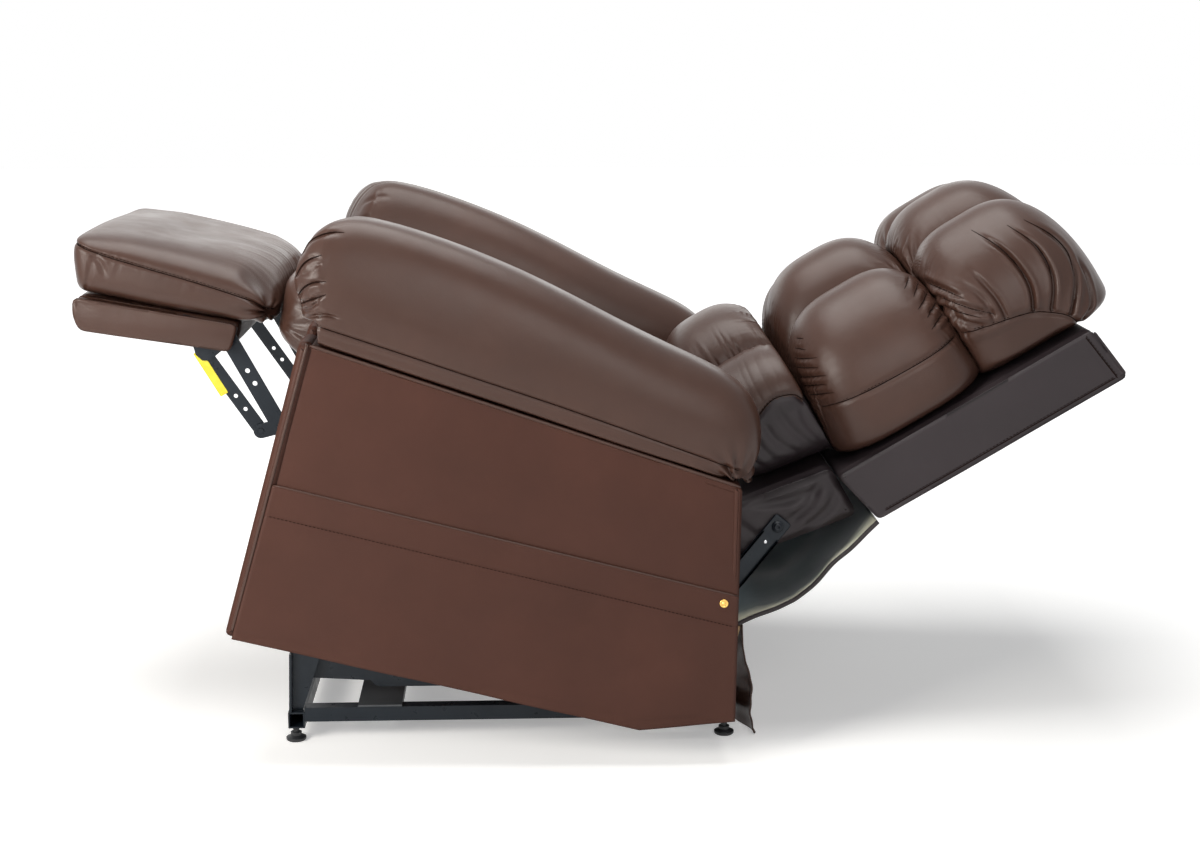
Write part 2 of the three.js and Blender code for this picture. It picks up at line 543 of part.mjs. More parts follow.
function buildArms(group) {
  const chamfer = [PANEL.chamferStart, PANEL.low + 5];
  const outline = [[PANEL.front, PANEL.low], chamfer, PANEL.rearLow, PANEL.rearTop, PANEL.frontTop];
  const w = ARM_WALL;
  const inner = [[PANEL.front + w, PANEL.low - 40], [chamfer[0], PANEL.low - 40],
    [PANEL.rearLow[0] + 20, PANEL.low + 20], [PANEL.rearLow[0] - w, PANEL.rearLow[1] + 1],
    [PANEL.rearTop[0] - w - 1, PANEL.rearTop[1] - w],
    [PANEL.frontTop[0] + w, PANEL.frontTop[1] - w]];
  const rear = PANEL.rearLow[0] + 60;
  const stepCut = slab([[PANEL.front + w, 0], [rear, 0], [rear, panelTop(0)],
    [ARM_STEP.rear + 40, panelTop(0)],
    [ARM_STEP.rear, ARM_STEP.height], [PANEL.front + w, ARM_STEP.height]], ARM_IN - 2, ARM_BOX_LOW_IN);
  const box = cut(slab(outline, ARM_IN, ARM_OUT), slab(inner, ARM_IN + w, ARM_OUT - w), stepCut);
  addPair(group, 'arm_box', box, leather);

  const flap = [[PANEL.front + 7, SKIRT.band], [256, SKIRT.band],
    [PANEL.rearLow[0], PANEL.rearLow[1] - SKIRT.drop],
    [chamfer[0], chamfer[1] - SKIRT.drop], [PANEL.front + 1, PANEL.low - SKIRT.drop]];
  addPair(group, 'side_skirt', slab(flap, ARM_OUT + GAP, ARM_OUT + GAP + SKIRT.thick), leather);

  const section = cushionOutline(22, 2.5);
  const centreX = (ARM_PAD.inner + ARM_PAD.outer) / 2;
  const halfX = (ARM_PAD.outer - ARM_PAD.inner) / 2;
  const length = ARM_PAD.rear - ARM_PAD.front;
  const stations = [0, 0.012, 0.04, 0.09, 0.16, 0.25, 0.35, 0.45, 0.55, 0.65, 0.75, 0.84, 0.91, 0.96,
    0.988, 1];
  const rings = stations.map((t) => {
    const y = ARM_PAD.front + t * length;
    const round = Math.sqrt(Math.max(0, 1 - Math.max(0, 1 - t / 0.1) ** 2))
      * Math.sqrt(Math.max(0, 1 - Math.max(0, (t - 0.9) / 0.1) ** 2));
    const swell = Math.max(0.12, round);
    const seat = panelTop(Math.max(y, PANEL.frontTop[0])) + GAP;
    const low = y < PANEL.frontTop[0] - 6 ? seat + 26 : seat;
    const mid = mix(low, armCrest(y), 0.42);
    return section.map(([across, up]) => {
      const drop = up < 0 ? mid - low : (armCrest(y) - mid) * swell;
      const taper = mix(1, 0.93, Math.max(0, -across)) * mix(1, 0.8, Math.max(0, (t - 0.7) / 0.3));
      return new THREE.Vector3(centreX + across * halfX * mix(0.55, 1, swell) * taper,
        y, mid + Math.max(-1, up * (up < 0 ? 1.12 : 1)) * drop * (up < 0 ? mix(0.5, 1, swell) : 1));
    });
  });
  addPair(group, 'arm_pad', loft(rings), leather);
}

// ---------- back (box frame) ----------
function onBack(s, n) {
  const a = rad(BACK_ANGLE);
  return [s * Math.cos(a) - n * Math.sin(a), s * Math.sin(a) + n * Math.cos(a)];
}

function pillow({ low, high, base, crown, half, dip, lean }) {
  const section = cushionOutline(26, 3);
  const centreS = (low + high) / 2;
  const halfS = (high - low) / 2;
  const middle = mix(base, crown, 0.45);
  const rings = acrossWidth(half, 21).map((x) => {
    const seam = Math.exp(-(((Math.abs(x) - COLUMN / 2) / 24) ** 2));
    const sideColumn = Math.abs(x) > COLUMN / 2 ? 14 : 0;
    const swell = edgeSwell(x, half, PILLOW_EDGE, 0.32);
    return section.map(([along, up]) => {
      const top = crown - sideColumn - dip * seam;
      const n = up > 0 ? middle + (top - middle) * up * swell
        : middle + (middle - base) * up * mix(0.7, 1, swell);
      const s = centreS + along * halfS * mix(1, 0.97, seam) * edgeSwell(x, half, PILLOW_EDGE * 0.6, 0.84);
      const [y, z] = onBack(s + lean * (n - middle), n);
      return new THREE.Vector3(x, y, z);
    });
  });
  return loft(rings);
}

function buildBack(group) {
  const slabOutline = [[SLAB.low, SLAB.front], [SLAB.lowRear, SLAB.rear], [SLAB.top, SLAB.rear],
    [SLAB.topFront, SLAB.front]].map(([s, n]) => onBack(s, n));
  add(group, 'back_frame', slab(slabOutline, -SLAB.half, SLAB.half, 6), leather);
  Object.entries(PILLOWS).forEach(([name, size]) => add(group, name, pillow(size), leather));

  const lowerOutline = [[LOWER_BACK.low, LOWER_BACK.rearLow], [LOWER_BACK.high, LOWER_BACK.rearHigh],
    [LOWER_BACK.high, LOWER_BACK.frontHigh], [LOWER_BACK.low, LOWER_BACK.frontLow]]
    .map(([s, n]) => onBack(s, n));
  const lower = slab(lowerOutline, -LOWER_BACK.half, LOWER_BACK.half, 5);
  const lugX = [BACK_MOTOR.x - ROD - 7, BACK_MOTOR.x - ROD - 1];
  const lug = strap([BACK_LUG, onBack(LOWER_BACK.low + 25, 100)], 11, ...lugX);
  const lugPin = bar(lugX[0] + 1, BACK_MOTOR.x + ROD, BACK_LUG, LINK_PIN);
  add(group, 'lower_back', fuse(lower, lug, lugPin), leather);

  const span = [BRACKET_X, BRACKET_X + BACK_PIN.head];
  const bracket = cut(strap(BRACKET, 14, ...span), linkHole(BACK_PIVOT, BACK_PIN.radius + PIN_FIT, ...span),
    linkHole([302, 410], 4, ...span));
  const bolt = bar(BRACKET_X + 1, BRACKET_X + 2 * BACK_PIN.head, BRACKET[2], 8, 6);
  addPair(group, 'back_bracket', fuse(bracket, bolt), steel);
}

// ---------- rear cloth ----------
// a point of the tipped box in the level frame
function inLevel([y, z]) {
  const a = rad(BOX_TILT);
  return [y * Math.cos(a) + z * Math.sin(a), z * Math.cos(a) - y * Math.sin(a)];
}

function ribbonRing(x, points, thickness) {
  const face = points.map(([y, z]) => new THREE.Vector3(x, y, z));
  const normals = points.map((p, i) => {
    const [a, b] = [points[Math.max(0, i - 1)], points[Math.min(points.length - 1, i + 1)]];
    return new THREE.Vector3(0, b[1] - a[1], a[0] - b[0]).normalize().multiplyScalar(thickness);
  });
  return [...face, ...face.map((p, i) => p.clone().add(normals[i])).reverse()];
}

function buildCloth(boxGroup, levelGroup) {
  const flapRings = spread(-FLAP_HALF, FLAP_HALF, 13).map((x) => {
    const sag = 8 * Math.cos((x / FLAP_HALF) * Math.PI * 2);
    const points = FLAP.map(([y, z], i) => {
      const slack = Math.sin((Math.PI * i) / (FLAP.length - 1)) * sag;
      return [y + 0.6 * slack, z - 0.8 * slack];
    });
    return ribbonRing(x, points, CLOTH);
  });
  add(boxGroup, 'rear_flap', loft(flapRings, true), lining);

  const [railRear, skirtTop] = inLevel([REAR_RAIL.rear, REAR_RAIL.high]);
  const drops = spread(0, 1, 6);
  const skirtRings = spread(-FLAP_HALF, FLAP_HALF, 8 * SKIRT_FOLDS + 1).map((x) => {
    const wave = Math.cos(((x + FLAP_HALF) / FLAP_HALF) * Math.PI * SKIRT_FOLDS);
    const points = drops.map((t) => [
      railRear + GAP + CLOTH + SKIRT_FOLD * t * wave, mix(skirtTop, SKIRT_CLEAR, t)]);
    return ribbonRing(x, points, CLOTH);
  });
  add(levelGroup, 'rear_skirt', loft(skirtRings, true), leather);
}

// ---------- drives ----------
// a linear drive from an eye around one bar to a slotted eye on a pin: motor, outer tube and sliding rod
function drive(group, name, from, to, size) {
  const length = Math.hypot(to[0] - from[0], to[1] - from[1]);
  const angle = Math.atan2(to[1] - from[1], to[0] - from[0]);
  const place = (geometry) => geometry.rotateX(angle).translate(size.x, from[0], from[1]);
  const along = (y0, y1, radius) => new THREE.CylinderGeometry(radius, radius, y1 - y0, 16)
    .translate(0, (y0 + y1) / 2, 0);
  const eyeOuter = size.eye + 7;
  const start = eyeOuter + 16;
  const neck = along(size.eye + 3, start + 4, 10);
  const motor = block([-size.radius - 46, 0], [start + 10, start + 60], [-size.radius, size.radius]);
  const shell = fuse(bar(-EYE_HALF, EYE_HALF, [0, 0], eyeOuter, 20), neck,
    along(start, size.housing, size.radius), along(start, start + 66, size.radius + 4), motor);
  const bore = along(start + 76, size.housing + 1, ROD + GAP);
  const hole = bar(-EYE_HALF - 1, EYE_HALF + 1, [0, 0], size.eye + GAP, 20);
  add(group, `${name}_housing`, place(cut(shell, hole, bore)), plastic);
  const ends = [[length, -size.slot], [length, size.slot]];
  const hold = LINK_PIN + size.play;
  const rod = along(start + 77 + size.retract, length - hold, ROD);
  const tip = cut(fuse(rod, strap(ends, hold + 5, -ROD, ROD)), strap(ends, hold, -ROD - 1, ROD + 1));
  add(group, `${name}_rod`, place(tip), bright);
}

// ---------- assembly ----------
const chair = new THREE.Group();
const box = new THREE.Group();
box.rotation.x = -rad(BOX_TILT);
chair.add(box);

buildBase(chair);
buildLift(chair);
buildSeat(box);
buildFootrest(box);
buildArms(box);
buildBack(box);
buildCloth(box, chair);
drive(chair, 'lift_motor', LIFT_MOTOR.base, LIFT_LUG, LIFT_MOTOR);
drive(box, 'back_motor', FRONT_TUBE, BACK_LUG, BACK_MOTOR);

// the origin is the middle of the footprint, on the floor
const bounds = new THREE.Box3().setFromObject(chair, true);
chair.position.set(0, -(bounds.min.y + bounds.max.y) / 2, -bounds.min.z);

export default chair;
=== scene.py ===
"""Lift recliner chair dressed for rendering: upholstery, stitching, steel links, floor, light and camera."""

import json
import math

import bmesh
import bpy
import numpy as np
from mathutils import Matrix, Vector
from mathutils.bvhtree import BVHTree
from mathutils.geometry import delaunay_2d_cdt


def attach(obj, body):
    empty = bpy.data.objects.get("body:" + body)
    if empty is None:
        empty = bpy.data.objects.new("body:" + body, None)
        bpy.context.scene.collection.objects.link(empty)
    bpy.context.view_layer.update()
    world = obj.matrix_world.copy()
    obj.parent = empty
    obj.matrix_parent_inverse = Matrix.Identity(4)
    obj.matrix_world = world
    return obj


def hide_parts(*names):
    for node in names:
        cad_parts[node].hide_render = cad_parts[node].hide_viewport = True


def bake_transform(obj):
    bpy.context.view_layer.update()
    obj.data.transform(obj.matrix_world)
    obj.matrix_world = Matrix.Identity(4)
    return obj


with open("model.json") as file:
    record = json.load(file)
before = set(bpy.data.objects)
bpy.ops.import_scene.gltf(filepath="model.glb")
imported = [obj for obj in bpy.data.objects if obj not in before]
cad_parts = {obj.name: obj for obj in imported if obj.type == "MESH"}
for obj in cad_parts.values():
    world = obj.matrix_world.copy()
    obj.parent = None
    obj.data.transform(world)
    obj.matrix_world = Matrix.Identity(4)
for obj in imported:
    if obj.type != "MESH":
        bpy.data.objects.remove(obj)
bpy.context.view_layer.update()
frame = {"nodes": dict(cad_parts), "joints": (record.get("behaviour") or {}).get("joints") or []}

# ---------- frames of reference ----------
BOX_TILT = math.radians(14.5)
BACK_ANGLE = math.radians(45)
RECLINE_PIVOT = (0.25, 0.295)  # in the box frame


def rotated(y, z):
    c, d = math.cos(BOX_TILT), math.sin(BOX_TILT)
    return y * c + z * d, z * c - y * d


pivot = next(j["pos_m"] for j in frame["joints"] if j["name"] == "recline")
OFFSET_Y, OFFSET_Z = (at - turned_by for at, turned_by in zip(pivot[1:], rotated(*RECLINE_PIVOT)))


def from_box(x, u, w):
    """World points from the tipped box frame: x across, u back, w up."""
    x, u, w = np.broadcast_arrays(*(np.asarray(a, float) for a in (x, u, w)))
    y, z = rotated(u, w)
    return np.stack([x, y + OFFSET_Y, z + OFFSET_Z], -1)


def from_back(x, s, n):
    """World points from the back's frame: x across, s up the back, n out of it."""
    x, s, n = np.broadcast_arrays(*(np.asarray(a, float) for a in (x, s, n)))
    c, d = math.cos(BACK_ANGLE), math.sin(BACK_ANGLE)
    return from_box(x, s * c - n * d, s * d + n * c)


# ---------- camera, floor and light ----------
LENS_MM, SENSOR_MM = 57.6, 36
CAMERA_X, CAMERA_HEIGHT = 3.33, 1.128
CAMERA_YAW, CAMERA_PITCH = math.radians(2.39), math.radians(11.44)
# name, place, target, size (m), power (W), colour
LAMPS = (
    ("top_softbox", (0.0, -0.2, 2.9), (0, 0, 0.4), (2.2, 2.0), 74, (1, 0.99, 0.96)),
    ("key_softbox", (1.9, -2.1, 1.45), (0.2, -0.3, 0.5), (1.2, 1.0), 48, (1, 0.96, 0.9)),
    ("side_softbox", (3.0, 0.5, 1.7), (0.3, 0.1, 0.5), (1.6, 1.2), 20, (1, 0.98, 0.95)),
    ("rim_softbox", (-2.7, -0.2, 1.35), (0, 0, 0.65), (3.2, 1.0), 7, (0.97, 1, 0.96)),
    ("foot_softbox", (1.7, -1.5, 0.9), (0.28, -0.75, 0.5), (0.6, 0.5), 12, (1, 0.96, 0.9)),
)
FLOOR_HALF = 14
# the floor's glow grows with the distance from the chair: the weaker glow near it is a painted grey halo of shade
# round the chair's real shadow, fading to white far off
FLOOR_GLOW = dict(From_Min=0.8, From_Max=3.2, To_Min=0.33, To_Max=1.0)


def look_along(direction):
    return Vector(direction).to_track_quat("-Z", "Y").to_euler()


def added(tree, kind, **sockets):
    """A new node with the default values of some of its inputs."""
    node = tree.nodes.new(kind)
    for key, value in sockets.items():
        node.inputs[key.replace("_", " ")].default_value = value
    return node


def background_rays(tree):
    """1 for the rays that show the pale background: seen by the camera, in a reflection or through glass."""
    path = added(tree, "ShaderNodeLightPath")
    total = path.outputs["Is Camera Ray"]
    for kind in ("Is Glossy Ray", "Is Transmission Ray"):
        both = added(tree, "ShaderNodeMath")
        both.operation = "MAXIMUM"
        tree.links.new(total, both.inputs[0])
        tree.links.new(path.outputs[kind], both.inputs[1])
        total = both.outputs[0]
    return total


def mixed_by_ray(tree, plain, seen, target):
    """Sends `seen` to the target for the background's rays, and `plain` for all others."""
    mix = added(tree, "ShaderNodeMixShader")
    for value, socket in zip((background_rays(tree), plain, seen), mix.inputs):
        tree.links.new(value, socket)
    tree.links.new(mix.outputs[0], target)


def set_camera(scene):
    camera = bpy.data.objects.new("camera", bpy.data.cameras.new("camera"))
    camera.data.sensor_width = SENSOR_MM
    camera.data.lens = LENS_MM
    camera.location = (CAMERA_X, OFFSET_Y, CAMERA_HEIGHT + OFFSET_Z)
    level = math.cos(CAMERA_PITCH)
    camera.rotation_euler = look_along(
        (-level * math.cos(CAMERA_YAW), level * math.sin(CAMERA_YAW), -math.sin(CAMERA_PITCH))
    )
    scene.collection.objects.link(camera)
    scene.camera = camera


def set_world(scene):
    world = bpy.data.worlds.new("studio")
    scene.world = world
    world.use_nodes = True
    tree = world.node_tree
    tree.nodes.clear()
    out = added(tree, "ShaderNodeOutputWorld")
    seen = added(tree, "ShaderNodeBackground", Strength=1.0, Color=(1, 1, 1, 1))
    lit = added(tree, "ShaderNodeBackground", Strength=0.15, Color=(0.93, 0.96, 1, 1))
    mixed_by_ray(tree, lit.outputs[0], seen.outputs[0], out.inputs[0])


def add_lamp(scene, name, place, target, size, power, colour):
    light = bpy.data.lights.new(name, "AREA")
    light.shape = "RECTANGLE"
    light.size, light.size_y = size
    light.energy = power
    light.color = colour
    holder = bpy.data.objects.new(name, light)
    holder.location = place
    holder.rotation_euler = look_along(Vector(target) - Vector(place))
    holder.visible_camera = False
    scene.collection.objects.link(holder)


def add_floor(scene):
    mesh = bpy.data.meshes.new("floor")
    a = FLOOR_HALF
    mesh.from_pydata([(-a, -a, 0), (a, -a, 0), (a, a, 0), (-a, a, 0)], [], [(0, 1, 2, 3)])
    floor = bpy.data.objects.new("floor", mesh)
    scene.collection.objects.link(floor)
    paper = bpy.data.materials.new("pale_floor")
    paper.use_nodes = True
    tree = paper.node_tree
    shader = tree.nodes["Principled BSDF"]
    shader.inputs["Base Color"].default_value = (0.9, 0.9, 0.9, 1)
    shader.inputs["Roughness"].default_value = 0.8
    shader.inputs["Specular IOR Level"].default_value = 0.1
    noise = added(tree, "ShaderNodeTexNoise", Scale=3)
    bump = added(tree, "ShaderNodeBump", Strength=0.02)
    tree.links.new(noise.outputs["Fac"], bump.inputs["Height"])
    tree.links.new(bump.outputs[0], shader.inputs["Normal"])
    spot = added(tree, "ShaderNodeTexCoord")
    reach = added(tree, "ShaderNodeVectorMath")
    reach.operation = "LENGTH"
    # painted shade: less glow near the chair leaves a grey halo round it
    grow = added(tree, "ShaderNodeMapRange", **FLOOR_GLOW)
    glow = added(tree, "ShaderNodeEmission")
    tree.links.new(spot.outputs["Object"], reach.inputs[0])
    tree.links.new(reach.outputs["Value"], grow.inputs[0])
    tree.links.new(grow.outputs[0], glow.inputs["Strength"])
    add = added(tree, "ShaderNodeAddShader")
    tree.links.new(shader.outputs[0], add.inputs[0])
    tree.links.new(glow.outputs[0], add.inputs[1])
    mixed_by_ray(tree, shader.outputs[0], add.outputs[0], tree.nodes["Material Output"].inputs["Surface"])
    mesh.materials.append(paper)


def set_stage():
    scene = bpy.context.scene
    set_camera(scene)
    set_world(scene)
    for lamp in LAMPS:
        add_lamp(scene, *lamp)
    add_floor(scene)
    scene.view_settings.view_transform = "Standard"


set_stage()


# ---------- mesh tools ----------
SIDES = ((1, "left"), (-1, "right"))  # the sitter's left is +x


def catmull(points, count):
    """Points evenly spaced along a smooth curve through the given ones."""
    p = np.asarray(points, float)
    p = np.vstack([2 * p[0] - p[1], p, 2 * p[-1] - p[-2]])
    t = np.linspace(0, 1, 24, endpoint=False)[:, None]
    fine = [
        0.5 * (2 * b + (c - a) * t + (2 * a - 5 * b + 4 * c - d) * t**2 + (3 * b - a - 3 * c + d) * t**3)
        for a, b, c, d in zip(p, p[1:], p[2:], p[3:])
    ]
    fine = np.vstack(fine + [p[-2][None]])
    reach = lengths(fine)
    at = np.linspace(0, reach[-1], count)
    return np.stack([np.interp(at, reach, fine[:, k]) for k in range(fine.shape[1])], 1)


def lengths(line):
    """The length of a line up to each of its points."""
    return np.concatenate([[0], np.cumsum(np.linalg.norm(np.diff(line, axis=0), axis=1))])


def make_object(name, points, faces, body, material, smooth=True):
    mesh = bpy.data.meshes.new(name)
    mesh.from_pydata([tuple(p) for p in np.asarray(points).reshape(-1, 3)], [], faces)
    bm = bmesh.new()
    bm.from_mesh(mesh)
    bmesh.ops.recalc_face_normals(bm, faces=bm.faces[:])
    return placed(name, mesh, bm, body, material, smooth)


def joined(name, parts, body, material):
    """One object from several, which it takes the place of."""
    bm = bmesh.new()
    for part in parts:
        bm.from_mesh(part.data)
        bpy.data.objects.remove(part)
    return placed(name, bpy.data.meshes.new(name), bm, body, material, True)


def placed(name, mesh, bm, body, material, smooth):
    bm.to_mesh(mesh)
    bm.free()
    mesh.update()
    if smooth:
        mesh.polygons.foreach_set("use_smooth", [True] * len(mesh.polygons))
    piece = bpy.data.objects.new(name, mesh)
    bpy.context.scene.collection.objects.link(piece)
    mesh.materials.append(material)
    if body:
        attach(piece, body)
    return piece


def leather_object(name, points, faces, body, material="leather"):
    return make_object(name, points, faces, body, M[material])


def grid_faces(rows, cols, wrap=False, start=0):
    last = cols if wrap else cols - 1
    return [
        (start + i * cols + j, start + i * cols + (j + 1) % cols,
         start + (i + 1) * cols + (j + 1) % cols, start + (i + 1) * cols + j)
        for i in range(rows - 1) for j in range(last)
    ]


def capped_tube_faces(rows, cols, start=0):
    """The faces of a tube of closed rings, with a cap on either end."""
    caps = [tuple(start + k for k in range(cols)), tuple(start + rows * cols - 1 - k for k in range(cols))]
    return grid_faces(rows, cols, wrap=True, start=start) + caps


def cube_shell(counts):
    """Points on the skin of the cube from -1 to 1 with its quads, counts[k] quads along axis k."""
    index, points, faces = {}, [], []

    def spot(key):
        if key not in index:
            index[key] = len(points)
            points.append([2 * key[k] / counts[k] - 1 for k in range(3)])
        return index[key]

    for axis in range(3):
        a, b = [k for k in range(3) if k != axis]
        for side in (0, counts[axis]):
            for i in range(counts[a]):
                for j in range(counts[b]):
                    corners = []
                    for di, dj in ((0, 0), (1, 0), (1, 1), (0, 1)):
                        key = [0, 0, 0]
                        key[axis], key[a], key[b] = side, i + di, j + dj
                        corners.append(spot(tuple(key)))
                    faces.append(tuple(corners) if side else tuple(reversed(corners)))
    return np.array(points), faces


def rounded(q, powers, corner):
    """Moves points of the cube's skin along their rays onto a stuffed box. powers holds, for each axis,
    the exponent below and above the middle; corner squares the outline across the first two axes."""
    q = np.where(np.abs(q) < 1, np.tan(q * np.pi / 4 * 0.96) / math.tan(math.pi / 4 * 0.96), q)
    exps = np.stack([np.where(q[:, k] < 0, powers[k][0], powers[k][1]) for k in range(3)], 1)
    low, high = np.full(len(q), 0.2), np.ones(len(q))
    for _ in range(26):
        mid = (low + high) / 2
        part = np.abs(q * mid[:, None]) ** exps
        over = (part[:, 0] ** corner + part[:, 1] ** corner) ** (1 / corner) + part[:, 2] > 1
        high = np.where(over, mid, high)
        low = np.where(over, low, mid)
    return q * low[:, None]


def crowded(q, bumps):
    """Coordinates from -1 to 1 moved so that grid lines crowd where bumps, a function of them, is high."""
    g = np.linspace(-1, 1, 1201)
    density = 1 + bumps(g)
    total = np.concatenate([[0], np.cumsum((density[1:] + density[:-1]) / 2)])
    return np.interp((q + 1) / 2, total / total[-1], g)


def squeezed(value, low, high, soft=0.006):
    """Keeps a value between two limits, flattening softly against them."""
    value = np.where(value > high - soft, high - soft + soft * np.tanh((value - high + soft) / soft), value)
    return np.where(value < low + soft, low + soft - soft * np.tanh((low + soft - value) / soft), value)


def between(r, middle, high, low):
    """A height that runs from low through middle to high as r runs from -1 to 1."""
    return np.where(r > 0, middle + (high - middle) * r, middle + (middle - low) * r)


def raw_normals(points, faces):
    f = np.array(faces)
    return f, np.cross(points[f[:, 2]] - points[f[:, 0]], points[f[:, 3]] - points[f[:, 1]])


def vertex_normals(points, faces):
    f, n = raw_normals(points, faces)
    out = np.zeros_like(points)
    for k in range(4):
        np.add.at(out, f[:, k], n)
    return out / np.maximum(np.linalg.norm(out, axis=1, keepdims=True), 1e-12)


def stuffed(name, points, faces, relief, body):
    """A padded leather piece whose skin is moved out by the relief."""
    f, n = raw_normals(points, faces)
    inward = (n * (points[f].mean(1) - points.mean(0))).sum(1) < 0
    for k in np.nonzero(inward)[0]:
        faces[k] = tuple(reversed(faces[k]))
    points = points + vertex_normals(points, faces) * relief[:, None]
    piece = leather_object(name, points, faces, body)
    return piece


# ---------- folds, creases and gathers ----------
def pairs(a, b):
    return np.stack([a, b], 1)


def bell(value, centre, width):
    return np.exp(-(((value - centre) / width) ** 2))


def ease(t):
    return t * t * (3 - 2 * t)


def step(value, low, high):
    return ease(np.clip((value - low) / (high - low), 0, 1))


def along(points, line):
    """For each 2-D point: distance to the line, and share of the line's length at its foot."""
    line = np.asarray(line, float)
    reach = lengths(line)
    best = np.full(len(points), 1e9)
    share = np.zeros(len(points))
    for a, b, r0 in zip(line, line[1:], reach):
        d = b - a
        length = np.linalg.norm(d)
        t = np.clip(((points - a) @ d) / length**2, 0, 1)
        dist = np.linalg.norm(points - (a + t[:, None] * d), axis=1)
        near = dist < best
        best = np.where(near, dist, best)
        share = np.where(near, (r0 + t * length) / reach[-1], share)
    return best, share


def fold(points, line, width, depth, ends=(0.15, 0.85), puff=0.55):
    """A groove along the line with a puffed ridge on either side, fading out towards its ends."""
    dist, t = along(points, catmull(line, 26))
    rise = np.clip(t / max(ends[0], 1e-3), 0, 1)
    fall = np.clip((1 - t) / max(1 - ends[1], 1e-3), 0, 1)
    groove = puff * bell(dist, 2.1 * width, 1.3 * width) - bell(dist, 0, width)
    return depth * groove * ease(rise) * ease(fall)


def ripple(t, count, seed):
    """Uneven gathers: sharp valleys between puffs, about `count` of them per unit of t."""
    rng = np.random.default_rng(seed)
    warp = t.copy()
    for k in (1, 2, 3):
        warp = warp + 0.35 / (k * count) * np.sin(2 * np.pi * (k * count / 5 * t + rng.random()))
    wave = np.abs(np.sin(np.pi * count * warp)) ** 0.7
    height = 0.65 + 0.35 * np.sin(2 * np.pi * (count / 3.3 * t + rng.random()))
    return (wave - 0.6) * height


def gathers(points, line, count, reach, depth, seed):
    """Short wrinkles that run away from a seam and die out with distance from it."""
    dist, t = along(points, catmull(line, 40))
    rng = np.random.default_rng(seed + 7)
    length = reach * (0.75 + 0.35 * np.sin(2 * np.pi * (t * count / 2.7 + rng.random())))
    fade = np.exp(-((dist / np.maximum(length, 1e-4)) ** 1.5))
    ends = np.clip(np.minimum(t, 1 - t) / 0.03, 0, 1)
    return depth * ripple(t, count, seed) * fade * ends


def dent(points, line, width, depth):
    return -depth * bell(along(points, catmull(line, 30))[0], 0, width)


def star(u, w, hub, count, phase, width, hole=None):
    """Pleats that spread from a gathered corner, and the distance from it."""
    away = np.hypot(u - hub[0], w - hub[1])
    spin = np.arctan2(w - hub[1], u - hub[0])
    rays = np.sin(spin * count + phase) * bell(away, 0, width)
    return (rays * step(away, *hole) if hole else rays), away


# ---------- seams and painted crease shade laid on a piece ---
def skin_of(piece):
    mesh = piece.data
    return BVHTree.FromPolygons([v.co[:] for v in mesh.vertices], [p.vertices[:] for p in mesh.polygons])


def laid_on(tree, points, out):
    """The points moved along `out` onto a piece's skin and lifted a little off it."""
    out = Vector(out)
    hits = [tree.ray_cast(Vector(p) + 0.15 * out, -out, 0.3)[0] for p in points]
    return np.array([hit + 0.0002 * out for hit in hits if hit is not None])


def seam(name, piece, points, side, body):
    """A drawn-in seam line laid on a piece's side along the points, with its stitches beside it."""
    line = laid_on(skin_of(piece), catmull(points, 90), (side, 0, 0))
    thread(name + "_thread", line + [0.0004 * side, 0, 0.003], body)
    tube(name, line, 0.0009, body, "stitch", sides=6)


def thread(name, points, body, pitch=0.0062, length=0.0042, radius=0.00055):
    """A run of single stitches laid along the points."""
    p = np.asarray(points, float)
    reach = lengths(p)
    verts, faces = [], []
    for start in np.arange(0, reach[-1] - length, pitch):
        a, b = (np.array([np.interp(r, reach, p[:, k]) for k in range(3)]) for r in (start, start + length))
        way = (b - a) / max(np.linalg.norm(b - a), 1e-9)
        side = np.cross(way, (1, 0, 0))
        side = side / max(np.linalg.norm(side), 1e-9)
        up = np.cross(side, way)
        faces += capped_tube_faces(4, 5, start=len(verts))
        for share, size in ((0, 0.35), (0.25, 1), (0.75, 1), (1, 0.35)):
            for angle in 2 * math.pi * np.arange(5) / 5:
                verts.append(a + (b - a) * share + size * radius * (math.cos(angle) * side + math.sin(angle) * up))
    return leather_object(name, np.array(verts), faces, body, "stitch")


def painted_crease_shade(name, piece, lines, side, body, radius):
    """Painted crease shade: dark tapered lines laid in the deepest folds of a piece's side, as one object."""
    tree = skin_of(piece)
    points, faces = [], []
    for line in lines:
        p = laid_on(tree, catmull(line, 24), (side, 0, 0))
        if len(p) < 6:
            continue
        ring, quads = tube_shell(p, radius * np.sin(np.pi * np.linspace(0.1, 0.97, len(p))) ** 0.6, 6)
        faces += [tuple(k + sum(map(len, points)) for k in quad) for quad in quads]
        points.append(ring)
    leather_object(name, np.vstack(points), faces, body, "stitch")


def tube_shell(p, size, sides):
    way = np.gradient(p, axis=0)
    way /= np.linalg.norm(way, axis=1, keepdims=True)
    ref = np.array([0, 0, 1.0] if abs(way[:, 0]).mean() > 0.8 else [1.0, 0, 0])
    a = np.cross(way, ref)
    a /= np.linalg.norm(a, axis=1, keepdims=True)
    b = np.cross(way, a)
    ang = np.linspace(0, 2 * np.pi, sides, endpoint=False)[None, :, None]
    ring = p[:, None] + size[:, None, None] * (np.cos(ang) * a[:, None] + np.sin(ang) * b[:, None])
    return ring.reshape(-1, 3), capped_tube_faces(len(p), sides)


def tube(name, points, radius, body, material, sides=8, taper=True):
    size = np.full(len(points), radius)
    if taper:
        size[[0, -1]] *= 0.3
    return leather_object(name, *tube_shell(np.asarray(points, float), size, sides), body, material)


